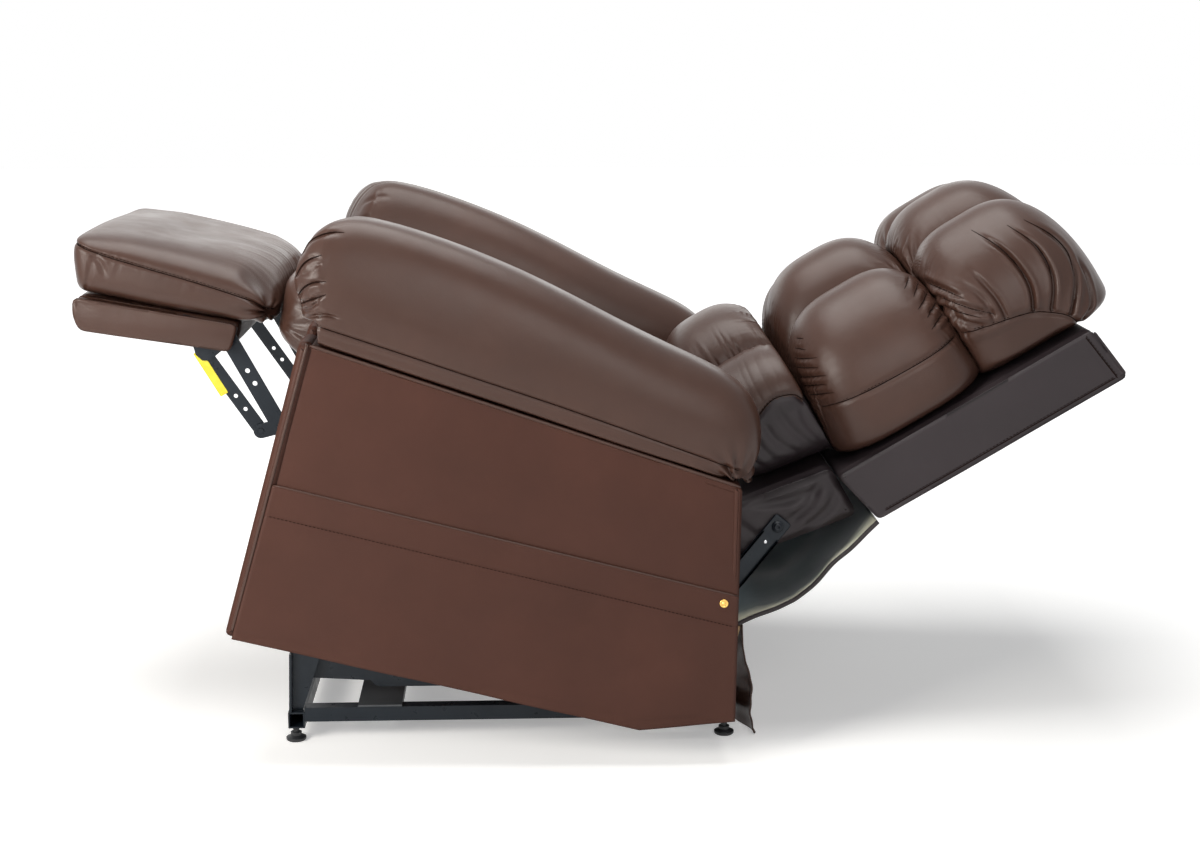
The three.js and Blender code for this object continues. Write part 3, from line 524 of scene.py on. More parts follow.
# ---------- materials ----------
class Recipe:
    """A principled material with a small node vocabulary."""

    def __init__(self, name, base, roughness, **sockets):
        self.material = bpy.data.materials.new(name)
        self.material.use_nodes = True
        self.tree = self.material.node_tree
        self.shader = self.tree.nodes["Principled BSDF"]
        for key, value in dict(Base_Color=(*base, 1), Roughness=roughness, **sockets).items():
            self.shader.inputs[key.replace("_", " ")].default_value = value
        self.place = added(self.tree, "ShaderNodeTexCoord").outputs["Object"]
        self.relief = None

    def link(self, a, b):
        self.tree.links.new(a, b)

    def noise(self, scale, detail, rough=0.55, stretch=None):
        node = added(self.tree, "ShaderNodeTexNoise", Scale=scale, Detail=detail, Roughness=rough)
        source = self.place
        if stretch:
            mapping = added(self.tree, "ShaderNodeMapping", Scale=stretch)
            self.link(source, mapping.inputs[0])
            source = mapping.outputs[0]
        self.link(source, node.inputs["Vector"])
        return node.outputs["Fac"]

    def cells(self, scale):
        node = added(self.tree, "ShaderNodeTexVoronoi", Scale=scale)
        node.feature = "DISTANCE_TO_EDGE"
        self.link(self.place, node.inputs["Vector"])
        return node.outputs["Distance"]

    def ramp(self, value, low, high, a, b):
        node = added(self.tree, "ShaderNodeMapRange", From_Min=low, From_Max=high, To_Min=a, To_Max=b)
        self.link(value, node.inputs[0])
        return node.outputs[0]

    def math(self, kind, *values):
        node = added(self.tree, "ShaderNodeMath")
        node.operation = kind
        for value, socket in zip(values, node.inputs):
            self.link(value, socket)
        return node.outputs[0]

    def colours(self, value, stops):
        node = added(self.tree, "ShaderNodeValToRGB")
        ramp = node.color_ramp
        while len(ramp.elements) < len(stops):
            ramp.elements.new(0.5)
        for element, (spot, colour) in zip(ramp.elements, stops):
            element.position = spot
            element.color = (*colour, 1)
        self.link(value, node.inputs[0])
        self.link(node.outputs[0], self.shader.inputs["Base Color"])

    def rough(self, value, low, high, a, b):
        self.link(self.ramp(value, low, high, a, b), self.shader.inputs["Roughness"])

    def bump(self, value, distance, strength):
        """Adds a bump on top of those before it."""
        node = added(self.tree, "ShaderNodeBump", Distance=distance, Strength=strength)
        self.link(value, node.inputs["Height"])
        if self.relief is not None:
            self.link(self.relief, node.inputs["Normal"])
        self.relief = node.outputs[0]
        self.link(self.relief, self.shader.inputs["Normal"])


# name, colour, roughness, grain, shine
LEATHERS = {
    "leather": ("brown_leather_fine", (0.053, 0.025, 0.0178), 0.34, 0.55, 0.27),
    "panel_leather": ("brown_leather_panel", (0.058, 0.0225, 0.0155), 0.5, 0.9, 0.16),
    # painted shade: a darker, cooler copy of the brown leather for the parts that lie in shade
    "shaded_leather": ("brown_leather_cool", (0.026, 0.019, 0.0215), 0.46, 0.7, 0.3),
}
# name, colour, roughness, other sockets; tones: a noise and its dark and light colour; rough: a noise and its
# range; bump: a noise, its depth and strength. A noise is (scale, detail), also with its roughness and stretch.
PLAIN = {
    # also the colour of the painted crease shade lines laid in folds, besides the real stitches and seams
    "stitch": (("dark_stitching", (0.012, 0.006, 0.005), 0.85), dict(Specular_IOR_Level=0.05), dict(
        tones=((300, 2), (0.008, 0.004, 0.003), (0.018, 0.009, 0.007)), bump=((2400, 2), 0.0002, 0.8))),
    "steel": (("black_coated_steel", (0.007, 0.011, 0.016), 0.32), dict(Metallic=0.2, Specular_IOR_Level=0.3), dict(
        tones=((18, 4), (0.006, 0.009, 0.014), (0.01, 0.015, 0.021)), rough=((60, 4), 0.25, 0.42),
        bump=((900, 2), 0.0001, 0.35))),
    # painted light: a lighter grey copy of the black steel, for the light falling on the base cross plate from above
    # and behind
    "grey_steel": (("grey_coated_steel", (0.05, 0.055, 0.06), 0.4), dict(Metallic=0.2), dict(
        tones=((24, 4), (0.044, 0.049, 0.055), (0.062, 0.067, 0.073)), bump=((900, 2), 0.0001, 0.35))),
    "plastic": (("moulded_plastic", (0.012, 0.013, 0.015), 0.45), {}, dict(
        tones=((40, 3), (0.009, 0.01, 0.012), (0.017, 0.018, 0.02)), bump=((1500, 2), 0.0002, 0.6))),
    "bright": (("bright_steel_rod", (0.62, 0.63, 0.65), 0.2), dict(Metallic=1.0), dict(
        rough=((90, 3, 0.55, (1, 1, 0.05)), 0.14, 0.3))),
    "wood": (("plain_wood", (0.36, 0.23, 0.12), 0.65), {}, dict(
        tones=((18, 5, 0.6, (0.25, 6, 6)), (0.26, 0.155, 0.075), (0.42, 0.28, 0.15)),
        bump=((18, 5, 0.6, (0.25, 6, 6)), 0.0008, 0.5))),
    "deck": (("deck_webbing", (0.02, 0.018, 0.016), 0.9), {}, dict(
        tones=((50, 4), (0.014, 0.013, 0.012), (0.03, 0.027, 0.024)),
        bump=((800, 2, 0.55, (1, 0.2, 0.2)), 0.0004, 0.7))),
    "brass": (("brass_snap", (0.75, 0.47, 0.13), 0.25), dict(Metallic=1.0), dict(rough=((300, 3), 0.18, 0.36))),
    "yellow": (("yellow_film", (0.72, 0.62, 0.03), 0.4), {}, dict(
        tones=((60, 3), (0.66, 0.56, 0.02), (0.78, 0.68, 0.05)), bump=((160, 2), 0.0006, 0.4))),
}


def leather_recipe(name, colour, roughness, grain, shine):
    r = Recipe(name, colour, roughness, Specular_IOR_Level=shine, Coat_Weight=0.12 * shine, Coat_Roughness=0.3)
    dark, light = (tuple(c * factor for c in colour) for factor in (0.86, 1.16))
    r.colours(r.noise(5, 4, 0.6), [(0.3, dark), (0.55, colour), (0.75, light)])
    r.rough(r.noise(14, 5, 0.6), 0.3, 0.75, roughness - 0.05, roughness + 0.08)
    r.bump(r.noise(34, 3, 0.5), 0.0016, 0.32)
    r.bump(r.cells(620), 0.00022, grain)
    r.bump(r.noise(1300, 2, 0.5), 0.00012, grain)
    return r.material


def plain_recipe(base, sockets, parts):
    r = Recipe(*base, **sockets)
    if "tones" in parts:
        noise, dark, light = parts["tones"]
        r.colours(r.noise(*noise), [(0.3, dark), (0.7, light)])
    if "rough" in parts:
        noise, low, high = parts["rough"]
        r.rough(r.noise(*noise), 0.3, 0.7, low, high)
    if "bump" in parts:
        noise, depth, strength = parts["bump"]
        r.bump(r.noise(*noise), depth, strength)
    return r.material


def lining_recipe():
    """Woven cloth with painted light and shade: dark blue-grey painted shade in the middle, where the seat shades it,
    and pale painted light near the two side edges.
    """
    r = Recipe("woven_lining", (0.15, 0.16, 0.13), 0.9, Sheen_Weight=0.3, Sheen_Roughness=0.5)
    split = added(r.tree, "ShaderNodeSeparateXYZ")
    r.link(r.place, split.inputs[0])
    # painted light and shade: dark in the middle, pale towards the side edges
    near = r.ramp(r.math("ABSOLUTE", split.outputs[0]), 0.235, 0.312, 0.12, 0.88)
    r.colours(r.math("ADD", near, r.ramp(r.noise(40, 5), 0.3, 0.7, -0.06, 0.06)),
              [(0.06, (0.018, 0.048, 0.066)), (0.45, (0.07, 0.105, 0.105)), (0.95, (0.92, 0.9, 0.7))])
    threads = (r.noise(900, 1, stretch=stretch) for stretch in ((1, 0.12, 0.12), (0.12, 1, 1)))
    r.bump(r.math("ADD", *threads), 0.0003, 0.7)
    return r.material


M = {key: leather_recipe(*values) for key, values in LEATHERS.items()}
M.update({key: plain_recipe(*values) for key, values in PLAIN.items()})
M["lining"] = lining_recipe()
SLOT_MATERIALS = {
    "black_steel": "steel", "black_plastic": "plastic", "bright_steel": "bright",
    "frame_wood": "wood", "flap_lining": "lining", "deck_cloth": "deck", "brown_leather": "panel_leather",
}
for cad in frame["nodes"].values():
    for place in cad.material_slots:
        for key, value in SLOT_MATERIALS.items():
            if place.material and key in place.material.name:
                place.material = M[value]
                break
# painted light: the base cross plate is lightened for the light that falls on it
frame["nodes"]["base_cross_plate"].material_slots[0].material = M["grey_steel"]


# ---------- back: three rows of stuffed pillows ----------
# lines on a pillow's side are (s, n): up the back and out of it
BESIDE_BACK = 0.36  # x from which lines are laid on the pillows' sides
HEAD_FOLDS = (  # line, width, depth
    ([(1.007, 0.303), (1.017, 0.265), (1.022, 0.233), (1.02, 0.202)], 0.005, 0.005),
    ([(1.05, 0.34), (1.07, 0.3), (1.078, 0.262), (1.077, 0.225), (1.063, 0.19)], 0.0046, 0.0085),
    ([(1.1, 0.322), (1.119, 0.28), (1.121, 0.245), (1.114, 0.215), (1.089, 0.174)], 0.0046, 0.0075),
    ([(1.128, 0.315), (1.152, 0.275), (1.16, 0.238), (1.149, 0.198), (1.112, 0.152)], 0.0046, 0.008),
    ([(1.168, 0.232), (1.168, 0.19), (1.152, 0.15), (1.124, 0.133)], 0.004, 0.0065),
    ([(0.985, 0.29), (1.000, 0.255), (1.004, 0.225), (1.000, 0.207)], 0.0045, 0.0035),
)
HEAD_TUCKS = (
    [(0.943, 0.306), (0.96, 0.285), (0.982, 0.256)], [(0.946, 0.281), (0.98, 0.242), (1.02, 0.207)],
    [(0.952, 0.242), (0.968, 0.222), (0.99, 0.203)], [(0.946, 0.262), (0.962, 0.245), (0.99, 0.222)],
)
HEAD_PLEATS = [
    [(1.05, 0.34), (1.07, 0.3), (1.078, 0.262), (1.077, 0.228)],
    [(1.1, 0.322), (1.119, 0.28), (1.121, 0.245), (1.114, 0.217)],
    [(1.128, 0.315), (1.152, 0.275), (1.16, 0.238), (1.149, 0.202)],
    [(0.946, 0.302), (0.96, 0.285), (0.978, 0.262)], [(0.949, 0.278), (0.98, 0.242), (1.01, 0.215)],
    [(0.95, 0.262), (0.962, 0.245), (0.985, 0.224)],
]
HEAD_SEAM = [(0.95, 0.212), (0.985, 0.206), (1.02, 0.2), (1.06, 0.189), (1.085, 0.174), (1.109, 0.153)]
SHOULDER_PLEATS = [
    [(s0, n), (s1, n - 0.001), (s2, n - 0.003), (s2 + way * reach, n - 0.006)]
    for s0, s1, s2, way, spots in (
        (0.6895, 0.7, 0.712, 1, ((0.345, 0.01), (0.331, 0.016), (0.316, 0.01), (0.301, 0.018), (0.287, 0.011),
                                   (0.272, 0.016), (0.258, 0.009), (0.243, 0.012))),
        (0.9395, 0.93, 0.921, -1, ((0.34, 0.01), (0.322, 0.014), (0.306, 0.008), (0.288, 0.014), (0.27, 0.008),
                                    (0.252, 0.012))),
    )
    for n, reach in spots
]
SHOULDER_SEAM = [(0.696, 0.221), (0.77, 0.215), (0.86, 0.212), (0.936, 0.213)]
LUMBAR_FOLDS = (  # line, depth
    ([(0.632, 0.262), (0.636, 0.215), (0.655, 0.16)], 0.0045),
    ([(0.6, 0.25), (0.606, 0.205), (0.628, 0.165)], 0.005),
    ([(0.575, 0.235), (0.58, 0.2), (0.59, 0.168)], 0.0045),
    ([(0.545, 0.24), (0.552, 0.205), (0.566, 0.172)], 0.0045),
    ([(0.668, 0.24), (0.664, 0.205), (0.672, 0.165)], 0.004),
)
LUMBAR_ARCH = [(0.56, 0.225), (0.585, 0.25), (0.609, 0.263), (0.629, 0.27), (0.647, 0.269), (0.668, 0.259)]
LUMBAR_SEAM = LUMBAR_ARCH + [(0.676, 0.244)]


def column_crown(x, spec):
    """Height of the stuffing's crest across the three columns."""
    out = np.abs(x)
    seam, valley = spec["seam"], spec["valley"]
    side = seam + 0.56 * (spec["half"] - seam)
    mid = np.sqrt(np.clip(1 - (out / seam) ** 2.2, 0, 1))
    flank = np.sqrt(np.clip(1 - np.clip((side - out) / (side - seam), 0, 1) ** 2.2, 0, 1))
    return np.where(out < seam, valley + (spec["mid"] - valley) * mid, valley + (spec["side"] - valley) * flank)


def pillow(name, spec):
    q, faces = cube_shell((160, 128, 78))
    for axis, place, strength in ((0, spec["seam"] / spec["half"], 3.0), (1, 0.97, 2.0)):
        q[:, axis] = crowded(
            q[:, axis], lambda g: 0.8 * bell(np.abs(g), 1, 0.1) + strength * bell(np.abs(g), place, 0.05)
        )
    r = rounded(q, spec["powers"], spec["corner"])
    up = r[:, 2]
    run = (spec["low"] + spec["high"]) / 2 + (spec["high"] - spec["low"]) / 2 * r[:, 1]
    x = r[:, 0] * spec["half"]
    n = between(up, spec["waist"], column_crown(x, spec), spec["base"](run))
    s = squeezed(run + spec["lean"] * (n - spec["waist"]), *spec["walls"])
    piece = stuffed(name + "_stuffed", from_back(x, s, n), faces, spec["detail"](x, s, n, up), "back")
    # painted shade: the lumbar pillow's side below its arched seam gets the darker shaded leather, for the shade
    # under the arm and the shoulder pillow
    if name == "lumbar_pillow":
        piece.data.materials.append(M["shaded_leather"])
        low = (np.abs(x) > 0.235) & (n < np.interp(s, *np.array(LUMBAR_SEAM).T))
        for face in piece.data.polygons:
            face.material_index = int(all(low[k] for k in face.vertices))
    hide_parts(name)
    for side, hand in SIDES:
        # painted crease shade: dark lines laid in the deepest pleats of the pillow's side
        if spec["pleats"]:
            lines = [from_back(side * BESIDE_BACK, *np.array(pleat).T) for pleat in spec["pleats"]]
            painted_crease_shade(f"{name}_pleats_{hand}", piece, lines, side, "back", 0.001)
        line = from_back(side * BESIDE_BACK, *np.array(spec["seam_line"]).T)
        seam(f"{name}_seam_{hand}", piece, line, side, "back")


def head_detail(x, s, n, up):
    out = np.abs(x)
    side, top = step(out, 0.19, 0.27), step(up, 0.0, 0.25)
    sn, xs = pairs(s, n), pairs(out, s)
    d = np.zeros(len(x))
    for line, width, depth in HEAD_FOLDS:
        d += side * fold(sn, line, 0.75 * width, 1.15 * depth, ends=(0.4, 0.98), puff=0.15)
    for line in HEAD_TUCKS:
        d += side * fold(sn, line, 0.0045, 0.0062, ends=(0.02, 0.6))
    d += step(out, 0.26, 0.3) * dent(sn, HEAD_SEAM + [(1.122, 0.122)], 0.0045, 0.0038)
    d -= 0.006 * step(out, 0.27, 0.31) * step(-n, -0.205, -0.18) * step(-s, -1.125, -1.08)
    d += top * gathers(xs, [(0.0, 0.948), (0.11, 0.95), (0.2, 0.95), (0.33, 0.95)], 34, 0.03, 0.0034, 11)
    column = gathers(xs, [(0.104, 0.95), (0.106, 1.03), (0.106, 1.12)], 26, 0.02, 0.0022, 5)
    d += top * column * step(-s, -1.1, -1.02)
    return d + top * 0.0042 * star(out, s, (0.112, 0.95), 13, 0.6, 0.036, (0.002, 0.012))[0]


def shoulder_detail(x, s, n, up):
    out = np.abs(x)
    side, top = step(out, 0.2, 0.28), step(up, 0.0, 0.2)
    sn, xs = pairs(s, n), pairs(out, s)
    edge = step(out, 0.27, 0.31)
    d = edge * dent(sn, [(0.69, 0.222), (0.77, 0.215), (0.86, 0.212), (0.945, 0.213)], 0.0034, 0.0034)
    d += edge * dent(sn, [(0.688, 0.222), (0.68, 0.13)], 0.0028, 0.0028)
    d += top * gathers(xs, [(0.0, 0.692), (0.1, 0.69), (0.2, 0.69), (0.33, 0.688)], 40, 0.024, 0.0042, 21)
    d += side * gathers(sn, [(0.69, 0.33), (0.69, 0.28), (0.691, 0.222)], 11, 0.03, 0.0072, 9)
    d += top * gathers(xs, [(0.0, 0.94), (0.1, 0.94), (0.2, 0.94), (0.33, 0.938)], 38, 0.022, 0.0036, 31)
    d += side * gathers(sn, [(0.938, 0.33), (0.938, 0.28), (0.94, 0.222)], 13, 0.026, 0.006, 19)
    d += top * 0.003 * star(out, s, (0.112, 0.938), 12, 0, 0.03, (0.002, 0.012))[0]
    d += side * step(-n, -0.21, -0.15) * 0.004
    for pleat in SHOULDER_PLEATS:
        d += side * fold(sn, pleat, 0.003, 0.003, ends=(0.05, 0.6), puff=0.4)
    return d


def lumbar_detail(x, s, n, up):
    out = np.abs(x)
    side, top = step(out, 0.235, 0.272), step(up, 0.1, 0.4)
    sn, xs = pairs(s, n), pairs(out, s)
    d = top * gathers(xs, [(0.128, 0.5), (0.128, 0.58), (0.128, 0.64), (0.128, 0.7)], 12, 0.024, 0.0036, 43)
    crest = gathers(xs, [(0.0, 0.676), (0.12, 0.676), (0.28, 0.672)], 26, 0.02, 0.003, 41)
    d += top * crest * step(-out, -0.14, -0.11)
    wave = ripple((s - 0.5 + 0.1 * (out - 0.13)) / 0.2, 9, 47) * (0.35 + 0.65 * bell(out, 0.13, 0.06))
    d += step(out, 0.128, 0.14) * step(n, 0.262, 0.285) * 0.0024 * wave
    d += side * dent(sn, LUMBAR_ARCH + [(0.678, 0.242)], 0.0045, 0.0038)
    d -= 0.004 * side * step(-n, -0.262, -0.235)
    for line, depth in LUMBAR_FOLDS:
        d += 0.35 * side * fold(sn, line, 0.006, depth)
    return d


def on_slab(s):
    return 0.1196 + 0 * s


def on_lower_back(s):
    """The lower back's front, and past its end the slab's."""
    front = 0.1632 + (s - 0.457) / 0.203 * (0.1302 - 0.1632)
    return front + (0.1206 - front) * step(s, 0.6605, 0.668)


# low to high: reach up the back; walls: what it may not pass; waist: where its side is widest; half: half the
# width; seam: the valley between columns; mid, side, valley: crest heights; base: what it lies on
PILLOWS = {
    "head_pillow": dict(
        low=0.92, high=1.205, walls=(0.9456, 1.21), base=on_slab, waist=0.172, half=0.322, seam=0.106,
        mid=0.384, side=0.373, valley=0.298, powers=((4.0, 4.0), (3.4, 2.6), (7.0, 2.1)), lean=-0.03,
        fill=0.75, corner=1.3, detail=head_detail, pleats=HEAD_PLEATS, seam_line=HEAD_SEAM + [(1.12, 0.126)]),
    "shoulder_pillow": dict(
        low=0.668, high=0.968, walls=(0.6825, 0.9446), base=on_slab, waist=0.176, half=0.328, seam=0.106,
        mid=0.402, side=0.374, valley=0.298, powers=((4.0, 4.0), (2.9, 2.9), (6.0, 2.1)), lean=0.02,
        fill=0.8, corner=1.3, detail=shoulder_detail, pleats=SHOULDER_PLEATS, seam_line=SHOULDER_SEAM),
    "lumbar_pillow": dict(
        low=0.496, high=0.712, walls=(0.506, 0.6815), base=on_lower_back, waist=0.262, half=0.28, seam=0.128,
        mid=0.408, side=0.352, valley=0.322, powers=((4.0, 4.0), (2.6, 3.2), (7.0, 2.2)), lean=-0.1,
        fill=0.7, corner=1.6, detail=lumbar_detail, pleats=None, seam_line=LUMBAR_SEAM),
}
for pillow_name, pillow_spec in PILLOWS.items():
    pillow(pillow_name, pillow_spec)


# ---------- upholstered boxes ----------
def softened(outline, radius):
    """A closed outline with its corners rounded over."""
    p = np.asarray(outline, float)
    out = []
    for a, b, c in zip(np.roll(p, 1, 0), p, np.roll(p, -1, 0)):
        u, v = (a - b) / np.linalg.norm(a - b), (c - b) / np.linalg.norm(c - b)
        cut = min(radius, 0.45 * np.linalg.norm(a - b), 0.45 * np.linalg.norm(c - b))
        out += [b + u * cut * (1 - t) ** 2 + v * cut * t**2 for t in np.linspace(0, 1, 4)]
    return np.array(out)


def refined(outline, pitch):
    """The outline with its long sides divided evenly."""
    out = []
    for a, b in zip(outline, np.roll(outline, -1, 0)):
        count = max(1, int(np.linalg.norm(b - a) / pitch))
        out += [a + (b - a) * k / count for k in range(count)]
    return np.array(out)


def inset(outline, amount):
    before, after = np.roll(outline, 1, 0), np.roll(outline, -1, 0)
    way = after - before
    way /= np.linalg.norm(way, axis=1, keepdims=True)
    area = np.sum(outline[:, 0] * after[:, 1] - after[:, 0] * outline[:, 1])
    inward = np.stack([-way[:, 1], way[:, 0]], 1) * np.sign(area)
    return outline + inward * amount


def stacked(stations):
    """Points of outlines set at places across x: one row (x, u, w) each."""
    return np.array([[x, *p] for x, ring in stations for p in ring])


def filled(ring, pitch):
    """Even points inside a closed outline, their distance to it, and the triangles that fill it."""
    axes = (np.arange(ring[:, k].min() + pitch / 2, ring[:, k].max(), pitch) for k in (0, 1))
    grid = np.stack(np.meshgrid(*axes), -1).reshape(-1, 2)
    a, b = ring, np.roll(ring, -1, 0)
    level = grid[:, None, 1]
    crossing = (a[:, 1] > level) != (b[:, 1] > level)
    rise = np.where(b[:, 1] == a[:, 1], 1, b[:, 1] - a[:, 1])
    at = a[:, 0] + (b[:, 0] - a[:, 0]) * (level - a[:, 1]) / rise
    inside = (crossing & (grid[:, None, 0] < at)).sum(1) % 2 == 1
    gap = along(grid, np.vstack([ring, ring[:1]]))[0]
    keep = inside & (gap > 0.5 * pitch)
    spots = [Vector(p) for p in np.vstack([ring, grid[keep]])]
    places, _, faces, origin, _, _ = delaunay_2d_cdt(spots, [], [list(range(len(ring)))], 1, 1e-7)
    index = [o[0] if o else min(range(len(spots)), key=lambda k: (spots[k] - p).length)
             for o, p in zip(origin, places)]
    cap = [tuple(index[k] for k in face) for face in faces]
    return grid[keep], gap[keep], [face for face in cap if len(set(face)) == 3]


def padded_box(name, outline, span, place, body, material, edge=0.006, corner=0.008, puff=0.002, pitch=0.012,
               detail=None, cap_pitch=0.012):
    """A side-view outline swept across x, with rounded edges and slightly puffed faces."""
    x0, x1 = span
    ring = refined(softened(outline, max(corner, edge + 0.004)), pitch)
    if np.sum(ring[:, 0] * np.roll(ring[:, 1], -1) - np.roll(ring[:, 0], -1) * ring[:, 1]) < 0:
        ring = ring[::-1]
    turn = np.linspace(0, math.pi / 2, 5)
    left = [(x0 - puff * (1 - math.exp(-depth / 0.02)), inset(ring, edge + depth)) for depth in (0.0022, 0.0008)]
    left += [(x0 + edge * (1 - math.sin(a)), inset(ring, edge * (1 - math.cos(math.pi / 2 - a))))
             for a in turn[::-1]]
    right = [(x1 + x0 - x, r) for x, r in reversed(left)]
    across = max(2, int((x1 - x0) / 0.012))
    middle = [(x, inset(ring, -puff * 1.2 * (1 - abs(2 * (x - x0) / (x1 - x0) - 1) ** 4)))
              for x in np.linspace(x0 + edge, x1 - edge, across)[1:-1]]
    stations = left + middle + right
    n = len(ring)
    inner, depth, cap = filled(stations[0][1], cap_pitch)
    bulge = x0 - puff * (1 - np.exp(-(depth + 0.0022) / 0.02))
    base, m = len(stations) * n, len(inner)
    flat = np.vstack([stacked(stations), np.column_stack([bulge, inner]), np.column_stack([x0 + x1 - bulge, inner])])
    faces = grid_faces(len(stations), n, wrap=True)
    faces += [tuple(k if k < n else base + k - n for k in reversed(f)) for f in cap]
    faces += [tuple(base - n + k if k < n else base + m + k - n for k in f) for f in cap]
    points = place(*flat.T)
    if detail:
        normals = vertex_normals(points, [(*f, f[-1])[:4] for f in faces])
        points = points + normals * detail(*flat.T)[:, None]
    return make_object(name, points, faces, body, material)


def slab_detail(x, s, n):
    d = 0.001 * np.sin(s * 19 + 2 * n * 13) * np.sin(n * 47 + s * 5) * step(np.abs(x), 0.3, 0.325)
    edge = gathers(pairs(s, n), [(0.664, 0.115), (0.683, 0.025)], 9, 0.016, 0.001, 71)
    return d + step(np.abs(x), 0.31, 0.325) * edge


def back_slab():
    # painted shade: the slab cover and its end piping are in the darker shaded leather
    piece = padded_box(
        "back_slab_cover", [(0.6608, 0.119), (0.683, 0.0215), (1.1425, 0.0215), (1.127, 0.119)], (-0.3305, 0.3305),
        from_back, "back", M["shaded_leather"], corner=0.007, puff=0.0012, detail=slab_detail, pitch=0.008,
        cap_pitch=0.006)
    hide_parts("back_frame")
    rim = catmull([(1.131, 0.1135), (1.1375, 0.07), (1.1435, 0.0275)], 30)
    for side, hand in SIDES:
        tube("slab_end_piping_" + hand, from_back(side * 0.3295, rim[:, 0] - 0.002, rim[:, 1]), 0.0022, "back",
             "shaded_leather", sides=6)
        for row, line in enumerate(([(1.113, 0.113), (1.127, 0.028)], [(0.7, 0.03), (1.125, 0.03)])):
            seam(f"slab_stitch_{row}_{hand}", piece, from_back(side * 0.34, *np.array(line).T), side, "back")


back_slab()
LOWER_BACK_FOLDS = (  # line, width, depth
    ([(0.523, 0.158), (0.6, 0.142), (0.656, 0.128)], 0.006, 0.0045),
    ([(0.5, 0.15), (0.57, 0.118), (0.64, 0.105)], 0.007, 0.0045),
    ([(0.64, 0.125), (0.6, 0.095), (0.54, 0.082)], 0.007, 0.004),
    ([(0.655, 0.095), (0.62, 0.07), (0.56, 0.062)], 0.006, 0.0035),
    ([(0.475, 0.14), (0.49, 0.11), (0.5, 0.085)], 0.007, 0.003),
)


def lower_back_detail(x, s, n):
    sn = pairs(s, n)
    d = -0.003 * bell(along(sn, [(0.47, 0.148), (0.573, 0.146), (0.656, 0.131)])[0], 0, 0.0028)
    for line, width, depth in LOWER_BACK_FOLDS:
        d += fold(sn, line, width, depth, ends=(0.3, 0.7))
    return step(np.abs(x), 0.275, 0.295) * d


# painted shade: the lower back cover is in the darker shaded leather
lower_back_piece = padded_box(
    "lower_back_cover", [(0.4575, 0.0725), (0.6595, 0.0385), (0.6595, 0.1295), (0.4575, 0.1625)], (-0.297, 0.297),
    from_back, "back", M["shaded_leather"], edge=0.012, corner=0.014, puff=0.0008, detail=lower_back_detail,
    pitch=0.006, cap_pitch=0.0045)
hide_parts("lower_back")


# ---------- arms ----------
# lines on an arm's side are (u, w): back and up in the tipped box
BESIDE_ARM = 0.5
PANEL_FRONT_TOP, PANEL_REAR_TOP = (-0.48, 0.577), (0.216, 0.522)
CREST = np.polyfit(*np.array([
    (-0.53, 0.772), (-0.44, 0.776), (-0.36, 0.775), (-0.229, 0.763), (-0.1, 0.737), (0.0, 0.708),
    (0.05, 0.702), (0.1, 0.694), (0.15, 0.688), (0.2, 0.682), (0.235, 0.678)]).T, 4)
STITCH_ROW = [(-0.484, 0.609), (-0.335, 0.598), (-0.211, 0.588), (-0.089, 0.578), (0.05, 0.564), (0.15, 0.553),
              (0.205, 0.545)]
ARM_PLEATS = [
    [(-0.521, 0.702), (-0.516, 0.72), (-0.509, 0.731), (-0.496, 0.742), (-0.482, 0.749), (-0.466, 0.753)],
    [(-0.522, 0.668), (-0.517, 0.686), (-0.511, 0.697), (-0.503, 0.705), (-0.49, 0.714)],
    [(-0.513, 0.64), (-0.508, 0.654), (-0.502, 0.663), (-0.492, 0.671), (-0.474, 0.678)],
    [(-0.505, 0.632), (-0.496, 0.64), (-0.486, 0.647), (-0.47, 0.659)],
]
ARM_FOLDS = [(line, 0.0042) for line in ARM_PLEATS] + [
    ([(-0.512, 0.675), (-0.504, 0.688), (-0.496, 0.696), (-0.484, 0.703)], 0.0034),
    ([(-0.5, 0.624), (-0.491, 0.631), (-0.483, 0.64), (-0.477, 0.65)], 0.0036),
    ([(-0.494, 0.612), (-0.48, 0.622), (-0.462, 0.628), (-0.44, 0.628)], 0.004),
]


def panel_top(u):
    (u0, w0), (u1, w1) = PANEL_FRONT_TOP, PANEL_REAR_TOP
    return w0 + (w1 - w0) * (u - u0) / (u1 - u0)


def arm_detail(side, x, u, w):
    out = side * x
    outer = step(out, 0.4, 0.445)
    cheek = np.maximum(outer, 0.75 * step(-out, -0.345, -0.315))
    wave = ripple((x - 0.28 * side) / (0.2 * side) + 2, 8, 17)
    d = (1 - cheek) * step(-u, 0.4, 0.49) * 0.0022 * wave * step(w, 0.62, 0.7)
    front = pairs(u - 0.024 * step(0.43 - out, 0, 0.13), w)
    for line, depth in ARM_FOLDS:
        d += cheek * fold(front, line, 0.0027, depth, ends=(0.1, 0.75), puff=0.12)
    d += outer * dent(pairs(u, w), STITCH_ROW, 0.0034, 0.003)
    d -= outer * step(panel_top(u) - w, -0.03, -0.02) * 0.0015
    rays, away = star(u, w, (0.212, 0.52), 15, 1.1, 0.045, (0.003, 0.016))
    d += step(out, 0.36, 0.42) * 0.006 * rays
    d -= step(out, 0.38, 0.43) * 0.007 * bell(away, 0, 0.012)
    return d + 0.0012 * np.sin(u * 17 + 2.2 * w * 9) * np.sin(w * 31 + 1.3)


